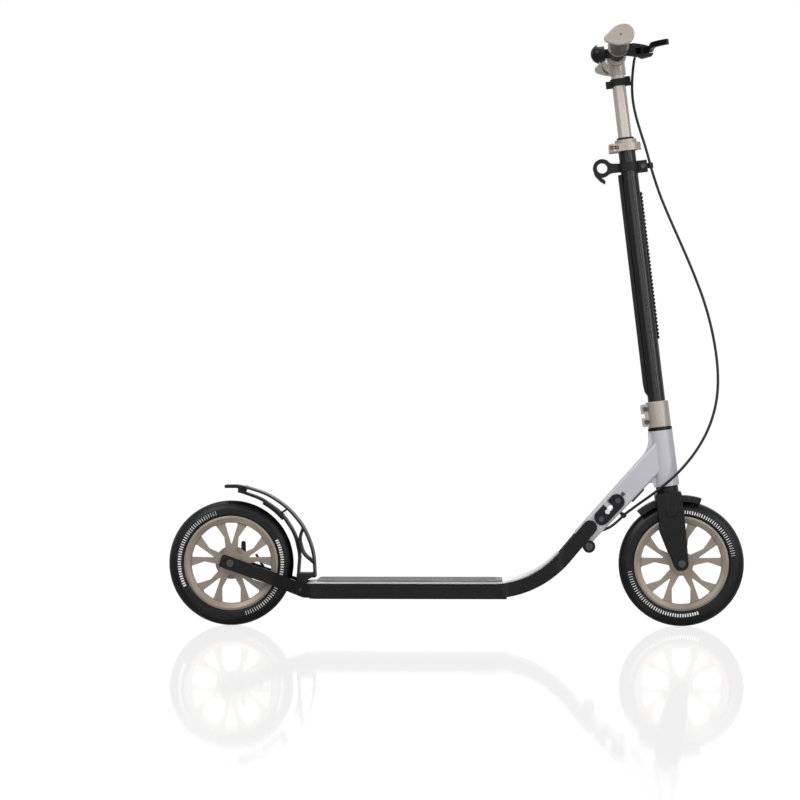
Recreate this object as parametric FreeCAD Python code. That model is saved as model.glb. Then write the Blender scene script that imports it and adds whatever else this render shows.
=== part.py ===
import FreeCAD, Part
import math
import os

# A folding kick scooter with two large wheels, in millimetres.
# +X is forward, +Y is the rider's left and +Z is up.
# The origin is on the ground, midway between the two axles.

# ---------------------------------------------------------------- driving dimensions
wheelbase = 830.0
wheel_radius = 115.0
tyre_width = 29.0
tyre_inner_radius = 87.3
rim_ring_inner_radius = 74.5
rim_ring_width = 25.0
spoke_thickness = 12.0
hub_radius = 19.0
hub_width = 29.0
spoke_count = 5

axle_radius = 4.0
bearing_outer_radius = 11.0
bearing_width = 7.0
axle_bolt_head_radius = 7.0
axle_bolt_head_height = 3.0

lean_angle = 6.8                 # the steering axis leans back by this many degrees
head_bottom_x = 388.8
head_bottom_z = 257.8
head_tube_length = 103.0
head_tube_bottom_radius = 23.2
head_tube_top_radius = 22.2
head_bore_radius = 18.0
headset_ring_height = 5.0
crown_gap = 12.0                 # room for the lower headset, below the head tube

steerer_radius = 14.3
steerer_length = 165.0
steering_tube_radius = 16.0
steering_tube_bore = 14.36
steering_tube_top = 631.0
clamp_height = 48.0
clamp_outer_radius = 21.0
inner_tube_radius = 12.8
inner_tube_flat = 11.6           # half the distance between its two flat sides
inner_tube_bottom = 500.0
bar_level = 796.0                # height of the handlebar along the steering axis
bar_radius = 11.0
bar_half_width = 252.0
bar_rise = 11.0
grip_length = 118.0
grip_radius = 15.5

fork_blade_thickness = 8.0
fork_inner_half_width = 20.0
fork_tip_radius = 12.0
fork_crown_half_depth = 24.0
front_fender_radius = 123.0
fender_wall = 3.0

pivot_x = 245.0                  # the fold pivot, between deck and neck
pivot_z = 147.0
pivot_pin_radius = 4.0
neck_slope = 46.8
neck_half_width = 19.6
neck_depth_low = 37.0
neck_depth_high = 43.0
gusset_half_width = 13.0          # webs between the neck and the head tube
lock_plate_thickness = 3.0
cheek_thickness = 5.0
cheek_gap = 0.6                  # between the lock plates and the bracket cheeks

deck_top = 86.5
rail_top = 80.0
deck_bottom = 54.0
deck_half_width = 62.0
deck_front = 94.0
deck_rear = -276.0
rail_thickness = 7.0
arm_half_width = 31.0
arm_thickness = 5.0
deck_wall = 3.0
mat_rear = -254.0
mat_front = 92.0

cable_radius = 2.5
running_clearance = 0.05         # between a shaft and its bore
part_clearance = 0.4             # between pieces that move past each other

# ---------------------------------------------------------------- worked-out places
rear_axle_x = -wheelbase / 2
front_axle_x = wheelbase / 2
axle_z = wheel_radius
clamp_bottom = head_tube_length + headset_ring_height + 1.0
clamp_top = clamp_bottom + clamp_height
fork_outer_half_width = fork_inner_half_width + fork_blade_thickness
plate_outer = neck_half_width + lock_plate_thickness
cheek_inner = plate_outer + cheek_gap
cheek_outer = cheek_inner + cheek_thickness

origin = FreeCAD.Vector(0, 0, 0)
along_x = FreeCAD.Vector(1, 0, 0)
along_y = FreeCAD.Vector(0, 1, 0)
along_z = FreeCAD.Vector(0, 0, 1)


# ---------------------------------------------------------------- shape helpers
def vec(x, y, z):
    return FreeCAD.Vector(x, y, z)


def block(x_low, x_high, y_low, y_high, z_low, z_high):
    """Box between two corners."""
    corner = vec(x_low, y_low, z_low)
    return Part.makeBox(x_high - x_low, y_high - y_low, z_high - z_low, corner)


def rod(radius, start, end):
    """Round bar between two points."""
    span = end - start
    return Part.makeCylinder(radius, span.Length, start, span)


def cross_rod(radius, x, z, y_low, y_high):
    """Round bar along Y."""
    return Part.makeCylinder(radius, y_high - y_low, vec(x, y_low, z), along_y)


def cross_tube(outer, inner, x, z, y_low, y_high):
    """Ring or tube along Y."""
    bar = cross_rod(outer, x, z, y_low, y_high)
    return bar.cut(cross_rod(inner, x, z, y_low, y_high))


def post(radius, z_low, z_high, x=0.0, y=0.0):
    """Round bar along Z."""
    return Part.makeCylinder(radius, z_high - z_low, vec(x, y, z_low), along_z)


def sleeve(outer, inner, z_low, z_high, x=0.0, y=0.0):
    """Tube along Z."""
    return post(outer, z_low, z_high, x, y).cut(post(inner, z_low, z_high, x, y))


def outline(corners, make_point):
    """Closed wire through corners (a, b, corner radius), placed by make_point."""
    edges = []
    count = len(corners)
    joints = []
    for index in range(count):
        a, b, radius = corners[index]
        here = FreeCAD.Vector(a, b, 0)
        before = FreeCAD.Vector(corners[index - 1][0], corners[index - 1][1], 0)
        after_corner = corners[(index + 1) % count]
        after = FreeCAD.Vector(after_corner[0], after_corner[1], 0)
        back = (before - here).normalize()
        ahead = (after - here).normalize()
        half = back.getAngle(ahead) / 2
        if radius <= 0 or abs(half - math.pi / 2) < 0.001:
            joints.append((here, None, here))
            continue
        setback = radius / math.tan(half)
        middle = (back + ahead).normalize()
        crest = here + middle * (radius / math.sin(half) - radius)
        joints.append((here + back * setback, crest, here + ahead * setback))
    for index in range(count):
        start, crest, end = joints[index]
        if crest is not None:
            edges.append(Part.Arc(make_point(start), make_point(crest), make_point(end)).toShape())
        following = joints[(index + 1) % count][0]
        if (following - end).Length > 0.001:
            edges.append(Part.LineSegment(make_point(end), make_point(following)).toShape())
    return Part.Wire(edges)


def side_plate(corners, y_low, y_high):
    """Plate drawn in the side view (x, z, corner radius) and given a thickness in Y."""
    wire = outline(corners, lambda p: vec(p.x, y_low, p.y))
    return Part.Face(wire).extrude(vec(0, y_high - y_low, 0))


def plan_plate(corners, z_low, z_high):
    """Plate drawn in the plan view (x, y, corner radius) and given a height in Z."""
    wire = outline(corners, lambda p: vec(p.x, p.y, z_low))
    return Part.Face(wire).extrude(vec(0, 0, z_high - z_low))


def round_profile(corners):
    """Ring or wheel turned about the Y axis from a section (radius, y, corner radius)."""
    wire = outline(corners, lambda p: vec(p.x, p.y, 0))
    return Part.Face(wire).revolve(origin, along_y, 360)


def moved(shape, x, y, z):
    copy = shape.copy()
    copy.translate(vec(x, y, z))
    return copy


def turned(shape, centre, axis, angle):
    copy = shape.copy()
    copy.rotate(centre, axis, angle)
    return copy


def mirrored(shape):
    """The same piece on the other side of the scooter's middle plane."""
    return shape.mirror(origin, along_y)


def both_sides(shape):
    return Part.makeCompound([shape, mirrored(shape)])


def joined(shapes):
    whole = shapes[0]
    for shape in shapes[1:]:
        whole = whole.fuse(shape)
    return whole.removeSplitter()


def leaned(shape):
    """Place a piece that was drawn with the steering axis upright at the origin."""
    copy = shape.copy()
    copy.rotate(origin, along_y, -lean_angle)
    copy.translate(vec(head_bottom_x, 0, head_bottom_z))
    return copy


def neck_point(along, above, y=0.0):
    """Point beside the neck: distance up the neck from the pivot, and above its lower face."""
    slope = math.radians(neck_slope)
    x = pivot_x + along * math.cos(slope) - above * math.sin(slope)
    z = pivot_z + along * math.sin(slope) + above * math.cos(slope)
    return vec(x, y, z)


def neck_plate(corners, y_low, y_high):
    """Plate drawn as (distance up the neck, height above its lower face, corner radius)."""
    def place(p):
        spot = neck_point(p.x, p.y)
        return vec(spot.x, y_low, spot.z)
    wire = outline(corners, place)
    return Part.Face(wire).extrude(vec(0, y_high - y_low, 0))


def rounded_edges(shape, radius, chosen):
    """Fillet the edges for which chosen(edge) is true."""
    edges = [edge for edge in shape.Edges if chosen(edge)]
    return shape.makeFillet(radius, edges)


# ---------------------------------------------------------------- wheels
def wheel_window(corners, turn):
    """Cutter for one window of the wheel, drawn as (distance out, sideways, corner radius)."""
    wire = outline(corners, lambda p: vec(p.y, -hub_width, p.x))
    cutter = Part.Face(wire).extrude(vec(0, 2 * hub_width, 0))
    return turned(cutter, origin, along_y, turn)


def make_rim():
    """Hub, ring and five double spokes, drawn about the origin."""
    bead = rim_ring_width / 2
    ring = round_profile([
        (rim_ring_inner_radius, -bead + 3, 1.5), (tyre_inner_radius - 4, -bead, 2),
        (tyre_inner_radius, -bead + 1, 0.5), (tyre_inner_radius, bead - 1, 0.5),
        (tyre_inner_radius - 4, bead, 2), (rim_ring_inner_radius, bead - 3, 1.5)])
    web = cross_rod(rim_ring_inner_radius + 2, 0, 0, -spoke_thickness / 2, spoke_thickness / 2)
    shield = [(22.5, -4, 1.5), (46, -17.5, 10), (rim_ring_inner_radius, -17, 5),
              (rim_ring_inner_radius, 17, 5), (46, 17.5, 10), (22.5, 4, 1.5)]
    gusset = [(32, 0, 1.2), (rim_ring_inner_radius - 0.5, -12.8, 3),
              (rim_ring_inner_radius - 0.5, 12.8, 3)]
    step = 360.0 / spoke_count
    for index in range(spoke_count):
        web = web.cut(wheel_window(shield, step * index + step / 2))
        web = web.cut(wheel_window(gusset, step * index))
    hub = cross_rod(hub_radius, 0, 0, -hub_width / 2, hub_width / 2)
    rim = joined([ring, web, hub])
    pocket = cross_rod(bearing_outer_radius, 0, 0, hub_width / 2 - bearing_width, hub_width / 2)
    rim = rim.cut(pocket).cut(mirrored(pocket))
    return rim.cut(cross_rod(bearing_outer_radius - 2.5, 0, 0, -hub_width, hub_width))


def make_tyre():
    half = tyre_width / 2
    return round_profile([
        (tyre_inner_radius, -half + 2.5, 1), (tyre_inner_radius + 3, -half, 2),
        (wheel_radius - 13, -half, 9), (wheel_radius, -7, 14),
        (wheel_radius, 7, 14), (wheel_radius - 13, half, 9),
        (tyre_inner_radius + 3, half, 2), (tyre_inner_radius, half - 2.5, 1)])


def make_bearings():
    """The two ball bearings of a wheel, each as one ring."""
    outer_face = hub_width / 2
    bore = axle_radius + running_clearance
    ring = cross_tube(bearing_outer_radius, bore, 0, 0, outer_face - bearing_width, outer_face)
    return both_sides(ring)


def make_wheel_spacer():
    """Sleeve that keeps the two bearings of a wheel apart."""
    reach = hub_width / 2 - bearing_width
    return cross_tube(axle_radius + 2.5, axle_radius + running_clearance, 0, 0, -reach, reach)


def make_axle_set(x, inner_half_width, outer_half_width):
    """Through axle, the sleeves that centre the wheel on it, and its end bolts."""
    bar = cross_rod(axle_radius, x, axle_z, -outer_half_width, outer_half_width)
    start = hub_width / 2 + part_clearance
    sleeves = both_sides(cross_tube(axle_radius + 2.5, axle_radius, x, axle_z, start, inner_half_width))
    return Part.makeCompound([bar, sleeves, make_axle_bolts(x, outer_half_width)])


def make_axle_bolts(x, outer_half_width):
    """Domed socket bolts that close the two ends of an axle."""
    bolt = cross_rod(axle_bolt_head_radius, x, axle_z,
                     outer_half_width, outer_half_width + axle_bolt_head_height)
    bolt = rounded_edges(bolt, 1.2, lambda edge: edge.BoundBox.YMin > outer_half_width + 1)
    socket = hexagon_bar(2.5, x, axle_z, outer_half_width + 1, outer_half_width + 10)
    return both_sides(bolt.cut(socket))


def hexagon_bar(radius, x, z, y_low, y_high):
    """Six-sided bar along Y, used for bolt sockets."""
    corners = []
    for index in range(6):
        angle = math.radians(60 * index)
        corners.append((x + radius * math.cos(angle), z + radius * math.sin(angle), 0))
    return side_plate(corners, y_low, y_high)


def wheel_parts(prefix, x):
    """The pieces that turn with one wheel."""
    pieces = {
        "_tyre": make_tyre(),
        "_rim": make_rim(),
        "_bearings": Part.makeCompound([make_bearings(), make_wheel_spacer()]),
    }
    return {prefix + name: moved(shape, x, 0, axle_z) for name, shape in pieces.items()}


# ---------------------------------------------------------------- deck and side rails
riser_slope = 50.0               # the front of the deck rises at this angle
riser_corner_x = 143.6
riser_radius = 160.0
rail_depth = rail_top - deck_bottom
arm_slope = 19.5
arm_depth = 24.0
cheek_reach = 35.0               # from the pivot to the middle of the cheek's round end
seat_gap = 0.1
platform_rear = -262.0
platform_front = 86.0
riser_plate_length = 72.0


def riser_point(along, above):
    """Point on the rising front: along the slope from its corner, above the rail's top line."""
    slope = math.radians(riser_slope)
    x = riser_corner_x + along * math.cos(slope) - above * math.sin(slope)
    z = rail_top + along * math.sin(slope) + above * math.cos(slope)
    return x, z


def riser_bend(above):
    """Corner between the flat deck and the rising front, for a line above the rail's top."""
    shift = above * math.tan(math.radians(riser_slope / 2))
    return (riser_corner_x - shift, rail_top + above, riser_radius - above)


def riser_strip(start_x, low, high, length):
    """Bent plate that follows the rising front between two offsets from the rail's top."""
    far = 2 * riser_radius
    low_end = riser_point(far, low)
    high_end = riser_point(far, high)
    corners = [(-far, rail_top + low, 0), riser_bend(low), (low_end[0], low_end[1], 0),
               (high_end[0], high_end[1], 0), riser_bend(high), (-far, rail_top + high, 0)]
    strip = side_plate(corners, -deck_half_width, deck_half_width)
    end_low = riser_point(length, -far)
    end_high = riser_point(length, far)
    keep = side_plate([(start_x, -far, 0), (end_low[0], end_low[1], 0), (end_high[0], end_high[1], 0),
                       (start_x, end_high[1], 0)], -deck_half_width, deck_half_width)
    return strip.common(keep).common(between_rails(0, far))


def arm_corner(beyond_axle, above):
    """Point on the rear arm, beyond the axle and above its middle line."""
    slope = math.radians(arm_slope)
    x = rear_axle_x - beyond_axle * math.cos(slope) + above * math.sin(slope)
    z = axle_z + beyond_axle * math.sin(slope) + above * math.cos(slope)
    return x, z


def rail_silhouette(y_low, y_high):
    """Side view of a rail: rear arm, straight deck side, rising front and round cheek."""
    half = arm_depth / 2
    end_low = arm_corner(19, -half)
    end_high = arm_corner(19, half)
    along_low = (end_low[1] - deck_bottom) / math.tan(math.radians(arm_slope))
    along_high = (end_high[1] - rail_top) / math.tan(math.radians(arm_slope))
    round_end = 12.9
    length = riser_length_to_pivot() + cheek_reach - 7.0 + round_end
    nose_low = riser_point(length, -rail_depth)
    nose_high = riser_point(length, 0)
    corners = [(end_low[0], end_low[1], 5), (end_low[0] + along_low, deck_bottom, 25),
               riser_bend(-rail_depth), (nose_low[0], nose_low[1], round_end),
               (nose_high[0], nose_high[1], round_end), riser_bend(0),
               (end_high[0] + along_high, rail_top, 20), (end_high[0], end_high[1], 5)]
    band = side_plate(corners, y_low, y_high)
    lobe = cross_rod(pivot_pin_radius + 7.5, pivot_x, pivot_z, y_low, y_high)
    return joined([band, lobe])


def riser_length_to_pivot():
    """Distance along the rising front from its corner to level with the fold pivot."""
    slope = math.radians(riser_slope)
    return (pivot_x - riser_corner_x) * math.cos(slope) + (pivot_z - rail_top) * math.sin(slope)


def rail_band(z_low, z_high):
    """Plan view of the left rail's band, from the rear arm to the bracket cheek."""
    far_rear = -500.0
    far_front = 320.0
    deck_inner = deck_half_width - rail_thickness
    corners = [
        (far_rear, arm_half_width, 0), (-334, arm_half_width, 50), (-268, deck_half_width, 50),
        (88, deck_half_width, 70), (196, cheek_outer, 70), (far_front, cheek_outer, 0),
        (far_front, cheek_inner, 0), (193, cheek_inner, 70), (86, deck_inner, 70),
        (-266, deck_inner, 50), (-331, arm_half_width - arm_thickness, 50),
        (far_rear, arm_half_width - arm_thickness, 0)]
    return plan_plate(corners, z_low, z_high)


def between_rails(z_low, z_high):
    """The room between the two rails, in plan."""
    inner = deck_half_width - rail_thickness - seat_gap
    front = cheek_inner - seat_gap
    corners = [(-290, 43.5, 0), (-266, inner, 50), (86, inner, 70), (193, front, 70), (320, front, 0)]
    mirror_corners = [(x, -y, radius) for x, y, radius in reversed(corners)]
    return plan_plate(corners + mirror_corners, z_low, z_high)


def make_side_rail():
    """The rail on the rider's left."""
    rail = rail_silhouette(0, 90).common(rail_band(0, 300))
    rail = rail.cut(cross_rod(axle_radius, rear_axle_x, axle_z, 0, 90))
    rail = rail.cut(cross_rod(pivot_pin_radius, pivot_x, pivot_z, 0, 90))
    rail = rail.cut(cross_rod(fender_pin_radius, fender_hinge_x, fender_hinge_z, 0, 90))
    relief = side_plate([(-234, 60, 4), (-166, 60, 4), (-166, 74, 4), (-234, 74, 4)],
                        deck_half_width - 1.2, 90)
    return rail.cut(relief)


fender_hinge_x = -284.6
fender_hinge_z = 68.5
fender_pin_radius = 3.0
cell_count = 3
cell_wall = 2.5


def make_deck_extrusion():
    """Hollow aluminium platform between the rails, open at both ends."""
    half = deck_half_width - rail_thickness
    top = deck_top - mat_thickness
    body = block(platform_rear, platform_front, -half, half, deck_bottom, top)
    cell_pitch = (2 * half - 2 * cell_wall + cell_wall) / cell_count
    for index in range(cell_count):
        low = -half + cell_wall + index * cell_pitch
        cell = block(-300, 120, low, low + cell_pitch - cell_wall,
                     deck_bottom + deck_wall, top - deck_wall)
        body = body.cut(cell)
    return body.common(between_rails(0, 200))


mat_thickness = 3.5


def make_grip_mat():
    """Rubber mat with rounded corners on top of the platform."""
    half = deck_half_width - 6.0
    corners = [(mat_rear, -half + 4, 8), (-236, -half, 30), (mat_front - 12, -half, 14),
               (mat_front - 6, -half + 14, 12), (mat_front - 6, half - 14, 12),
               (mat_front - 12, half, 14), (-236, half, 30), (mat_rear, half - 4, 8)]
    low = deck_top - mat_thickness
    mat = plan_plate(corners, low, deck_top)
    return rounded_edges(mat, 0.8, lambda edge: edge.BoundBox.ZMin > deck_top - 0.01)


def make_under_cover():
    """Thin cover below the platform, with a square front end."""
    half = deck_half_width - 1.0
    corners = [(-268, -half + 8, 10), (-256, -half, 10), (deck_front, -half + 2, 2),
               (deck_front, half - 2, 2), (-256, half, 10), (-268, half - 8, 10)]
    cover = plan_plate(corners, deck_bottom - 2, deck_bottom)
    return cover


def make_front_plate():
    """Bright plate on the rising front, between the rails."""
    return riser_strip(platform_front + seat_gap, -1, 3, riser_plate_length)


def make_front_web():
    """Lower plate of the rising front, between the rails."""
    return riser_strip(deck_front, -rail_depth, -rail_depth + 4, riser_plate_length)


def make_rear_bridge():
    """Cross piece that ties the rails together behind the platform."""
    corners = [(-276, 63, 2), (-262.2, 63, 2), (-262.2, 82, 2), (-270, 82, 3), (-276, 76, 2)]
    return side_plate(corners, -60, 60).common(between_rails(0, 200))


def make_cheek_bolts():
    """Pivot bolt heads outside the bracket cheeks."""
    head = cross_rod(7.0, pivot_x, pivot_z, cheek_outer, cheek_outer + 3)
    head = rounded_edges(head, 1.2, lambda edge: edge.BoundBox.YMin > cheek_outer + 1)
    return both_sides(head.cut(hexagon_bar(2.5, pivot_x, pivot_z, cheek_outer + 1, cheek_outer + 9)))


def make_pivot_pin():
    return cross_rod(pivot_pin_radius, pivot_x, pivot_z, -cheek_outer, cheek_outer)


def make_fender_pin():
    """Through pin that carries the rear fender, with a head each side."""
    half = 45.0
    pin = cross_rod(fender_pin_radius, fender_hinge_x, fender_hinge_z, -half, half)
    return pin


# ---------------------------------------------------------------- rear drum brake and stand
drum_outer_radius = 30.5
drum_inner_radius = 27.5
drum_inner_face = spoke_thickness / 2
drum_depth = 12.0
plate_face = drum_inner_face + drum_depth + 1.0
backing_plate_thickness = 2.0
cam_radius = 3.0
cam_x = rear_axle_x + 20.5
cam_z = axle_z + 11.2


def make_brake_drum():
    """Drum fixed to the left side of the rear wheel."""
    ring = cross_tube(drum_outer_radius, drum_inner_radius, rear_axle_x, axle_z,
                      drum_inner_face, drum_inner_face + drum_depth)
    flange = cross_tube(drum_outer_radius, hub_radius, rear_axle_x, axle_z,
                        drum_inner_face, drum_inner_face + 2)
    return joined([ring, flange])


def make_backing_plate():
    """Fixed plate that closes the drum and carries the shoes."""
    plate = cross_rod(drum_outer_radius, rear_axle_x, axle_z,
                      plate_face, plate_face + backing_plate_thickness)
    cam_hole = cross_rod(cam_radius + 0.05, cam_x, cam_z, 0, 60)
    plate = plate.cut(cross_rod(axle_radius + 2.6, rear_axle_x, axle_z, 0, 60))
    return plate.cut(cam_hole)


def make_brake_shoes():
    """Two curved shoes inside the drum, clear of it when the brake is off."""
    outer = drum_inner_radius - 1.0
    ring = cross_tube(outer, outer - 5, rear_axle_x, axle_z,
                      drum_inner_face + 3.5, plate_face)
    gap = block(rear_axle_x - 50, rear_axle_x + 50, 0, 60, axle_z - 7, axle_z + 7)
    gap = turned(gap, vec(rear_axle_x, 0, axle_z), along_y, -28)
    return ring.cut(gap)


def make_brake_arm():
    """Lever on the brake cam that the cable pulls."""
    pivot = (cam_x, cam_z)
    low = plate_face + backing_plate_thickness + 0.3
    corners = [(pivot[0] - 5, pivot[1] - 5, 4.5), (pivot[0] + 5, pivot[1] - 5, 4.5),
               (pivot[0] + 4, pivot[1] + 28, 3.5), (pivot[0] - 4, pivot[1] + 28, 3.5)]
    arm = side_plate(corners, low, low + 2.5)
    cam = cross_rod(cam_radius, pivot[0], pivot[1], drum_inner_face + 4, low + 4)
    return joined([arm, cam])


stand_pivot_x = -40.0
stand_pivot_z = 67.0
stand_inner_y = deck_half_width + 3.0
stand_length = 58.0


def make_stand_bracket():
    """Block and pin on the left rail that carry the kickstand."""
    corners = [(stand_pivot_x - 12, 58, 3), (stand_pivot_x + 12, 58, 3),
               (stand_pivot_x + 12, 76, 3), (stand_pivot_x - 12, 76, 3)]
    base = side_plate(corners, deck_half_width, stand_inner_y - part_clearance)
    pin = cross_rod(4, stand_pivot_x, stand_pivot_z, deck_half_width, stand_inner_y + 13)
    head = cross_rod(7, stand_pivot_x, stand_pivot_z, stand_inner_y + 10.4, stand_inner_y + 13)
    return joined([base, pin, head])


def make_stand_leg():
    """Kickstand leg, folded back along the deck."""
    eye = cross_rod(9, stand_pivot_x, stand_pivot_z, stand_inner_y, stand_inner_y + 10)
    bar = rod(4.5, vec(stand_pivot_x - 6, stand_inner_y + 5, stand_pivot_z),
              vec(stand_pivot_x - stand_length, stand_inner_y + 5, stand_pivot_z))
    leg = joined([eye, bar])
    return leg.cut(cross_rod(4.05, stand_pivot_x, stand_pivot_z, 0, 120))


def make_stand_foot():
    """Rubber foot on the end of the kickstand."""
    end = stand_pivot_x - stand_length
    foot = rod(7, vec(end + 14, stand_inner_y + 5, stand_pivot_z),
               vec(end - 6, stand_inner_y + 5, stand_pivot_z))
    foot = rounded_edges(foot, 2, lambda edge: edge.Curve.TypeId == "Part::GeomCircle")
    return foot.cut(rod(4.5, vec(end + 30, stand_inner_y + 5, stand_pivot_z),
                        vec(end, stand_inner_y + 5, stand_pivot_z)))


# ---------------------------------------------------------------- rear fender
fender_half_width = 26.0
fender_strip = 3.5
fender_pad_thickness = 6.0


def ribbon(points, thickness, y_low, y_high):
    """Strip of even thickness along a bent line (x, z, corner radius), extruded in Y."""
    left = []
    right = []
    half = thickness / 2
    last = len(points) - 1
    for index, (x, z, radius) in enumerate(points):
        before = points[max(index - 1, 0)]
        after = points[min(index + 1, last)]
        back = FreeCAD.Vector(x - before[0], z - before[1], 0)
        ahead = FreeCAD.Vector(after[0] - x, after[1] - z, 0)
        if index == 0:
            back = ahead
        if index == last:
            ahead = back
        back.normalize()
        ahead.normalize()
        middle = (back + ahead).normalize()
        reach = half / math.cos(back.getAngle(ahead) / 2)
        side = FreeCAD.Vector(-middle.y, middle.x, 0) * reach
        turn = back.x * ahead.y - back.y * ahead.x
        grow = half if turn < 0 else -half
        left_radius = max(radius + grow, 0) if radius else 0
        right_radius = max(radius - grow, 0) if radius else 0
        left.append((x + side.x, z + side.y, left_radius))
        right.append((x - side.x, z - side.y, right_radius))
    return side_plate(left + right[::-1], y_low, y_high)


def make_rear_fender():
    """Lattice mudguard: an inner and an outer strip with webs, on a hinge lug."""
    half = fender_half_width
    inner = ribbon([(14, 133, 0), (55, 119, 90), (93, 92.5, 90), (119, 53, 90),
                    (127, 15, 60), (124, -24, 0)], fender_strip, -half, half)
    outer = ribbon([(24, 141, 0), (69, 127, 130), (106, 101, 130), (134, 68, 130),
                    (153, 22, 130), (155, -24, 0)], fender_strip, -half, half)
    webs = [
        ribbon([(93, 92.5, 0), (106, 101, 0)], fender_strip, -half, half),
        ribbon([(134, 68, 0), (126, 45, 30), (133, 18, 30), (154, 0, 0)],
               fender_strip, -half, half),
        side_plate([(122.2, -26, 0), (156.8, -26, 0), (156.8, -18, 2), (122.2, -18, 2)],
                   -half, half),
    ]
    cap = side_plate([(-11.5, 138.5, 2), (13, 138.5, 0), (14, 130, 0), (25, 128, 0), (31, 141, 2),
                      (12, 144.5, 4), (-11.5, 144.5, 2)], -half + 8, half - 8)
    upright = joined([inner, outer, cap] + webs)
    placed = moved(upright, rear_axle_x, 0, axle_z)
    lug_top = axle_z - 24
    lug = side_plate([(fender_hinge_x - 6.5, fender_hinge_z - 6.5, 6.4),
                      (fender_hinge_x + 6.5, fender_hinge_z - 6.5, 6.4),
                      (fender_hinge_x + 7.5, 82, 3), (fender_hinge_x + 19, 88.5, 3),
                      (fender_hinge_x + 23, lug_top, 0), (fender_hinge_x - 7.5, lug_top, 0),
                      (fender_hinge_x - 7.5, 82, 4)], -half, half)
    bore = cross_rod(fender_pin_radius + running_clearance, fender_hinge_x, fender_hinge_z, -60, 60)
    return joined([placed, lug]).cut(bore)


def make_fender_pad():
    """Friction pad under the mudguard, which rubs the tyre when the guard is pressed."""
    outer = 129.0
    low_angle = 40.0
    sweep = 22.0
    section = [(outer - fender_pad_thickness, -12, 1), (outer, -12, 0), (outer, 12, 0),
               (outer - fender_pad_thickness, 12, 1)]
    pad = arc_profile(section, low_angle, sweep)
    placed = moved(pad, rear_axle_x, 0, axle_z)
    return placed.cut(make_rear_fender())


def arc_profile(section, start_angle, sweep):
    """Part of a ring about Y from a section (radius, y, corner radius)."""
    wire = outline(section, lambda p: vec(p.x, p.y, 0))
    face = Part.Face(wire)
    face.rotate(origin, along_y, -start_angle)
    return face.revolve(origin, vec(0, -1, 0), sweep)


# ---------------------------------------------------------------- neck and fold lock
bush_radius = 6.0
lock_bolt_upper = (97.6, 19.0)
lock_bolt_lower = (52.3, 18.0)
small_bolt = (113.0, 20.5)
lock_pin_along = 70.0
lock_pin_above = 19.0
lock_pin_radius = 4.5
lock_pin_travel = 9.0
pad_along_low = 114.0
pad_along_high = 146.0
pad_height = 3.5
pad_travel = 4.0
pad_half_width = 13.0


def lock_slot(y_low, y_high, extra):
    """J-shaped slot: a run along the neck, open to the upper face."""
    wide = lock_pin_radius + extra
    low = lock_pin_along - wide
    high = lock_pin_along + lock_pin_travel + wide
    above_low = lock_pin_above - wide
    above_high = lock_pin_above + wide
    run = neck_plate([(low, above_low, wide - 0.2), (high, above_low, wide - 0.2),
                      (high, above_high, wide - 0.2), (low, above_high, wide - 0.2)],
                     y_low, y_high)
    mouth = neck_plate([(high - 2 * wide, lock_pin_above, 0), (high, lock_pin_above, 0),
                        (high, 60, 0), (high - 2 * wide, 60, 0)], y_low, y_high)
    return run, mouth


def make_neck_frame():
    """Slanting box neck with the head tube and the fold lug."""
    half = neck_half_width
    neck = neck_plate([(-3, 1, 6), (202, -1.5, 0), (238, 42.5, 0), (120, neck_depth_high - 3, 200),
                       (-3, neck_depth_low, 9)], -half, half)
    neck = rounded_edges(neck, 4, is_long_side_edge)
    lug = cross_rod(11, pivot_x, pivot_z, -half, half)
    head = Part.makeCone(head_tube_bottom_radius, head_tube_top_radius, head_tube_length)
    gusset = neck_plate([(160, 30, 0), (240, 44, 0), (226.5, 62.3, 0), (209.4, 41.9, 48), (160, 40.8, 0)],
                        -gusset_half_width, gusset_half_width)
    lower_gusset = neck_plate([(150, -1, 0), (173.1, -1.3, 7.4), (162.6, -13.9, 0), (165, -16, 0),
                               (190, 12, 0), (150, 12, 0)], -gusset_half_width, gusset_half_width)
    body = joined([neck, lug, leaned(head), gusset, lower_gusset])
    body = body.cut(leaned(post(head_bore_radius, -30, head_tube_length + 30)))
    cavity = neck_plate([(19, 5.5, 3), (100, 5, 4), (100, 35, 4), (-20, 32, 4), (-20, 12.5, 0),
                         (13, 12.5, 3)], -half + 3.6, half - 3.6)
    cable_slot = neck_plate([(24, -5, 0), (60, -5, 0), (60, 8, 0), (24, 8, 0)], -17, -8)
    run, mouth = lock_slot(-60, 60, part_clearance)
    recess = neck_plate([(pad_along_low - 0.5, -9, 0), (pad_along_high + 0.5, -9, 0),
                         (pad_along_high + 0.5, 6.5, 1), (pad_along_low - 0.5, 6.5, 1)],
                        -pad_half_width - 0.5, pad_half_width + 0.5)
    for cutter in (cavity, cable_slot, run, recess, cross_rod(bush_radius, pivot_x, pivot_z, -60, 60)):
        body = body.cut(cutter)
    for along, above in (lock_bolt_upper, lock_bolt_lower):
        spot = neck_point(along, above)
        body = body.cut(cross_rod(2.5, spot.x, spot.z, -60, 60))
    return body


def is_long_side_edge(edge):
    """True for the straight edges that run up the neck's two sides."""
    box = edge.BoundBox
    return box.YLength < 0.01 and box.XLength > 60


def make_fold_bushes():
    ring = cross_tube(bush_radius, pivot_pin_radius + running_clearance,
                      pivot_x, pivot_z, neck_half_width - 12, neck_half_width + 3.2)
    return both_sides(ring)


def make_lock_plate():
    """Black plate on the left of the neck, with the J-shaped notch."""
    low_y = neck_half_width
    plate = neck_plate([(41, 5, 13.9), (109, 5, 13.9), (109, 33, 13.9), (41, 33, 13.9)],
                       low_y, plate_outer)
    run, mouth = lock_slot(0, 60, part_clearance)
    plate = plate.cut(run).cut(mouth)
    for along, above in (lock_bolt_upper, lock_bolt_lower):
        spot = neck_point(along, above)
        plate = plate.cut(cross_rod(2.5, spot.x, spot.z, 0, 60))
    return plate


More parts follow.
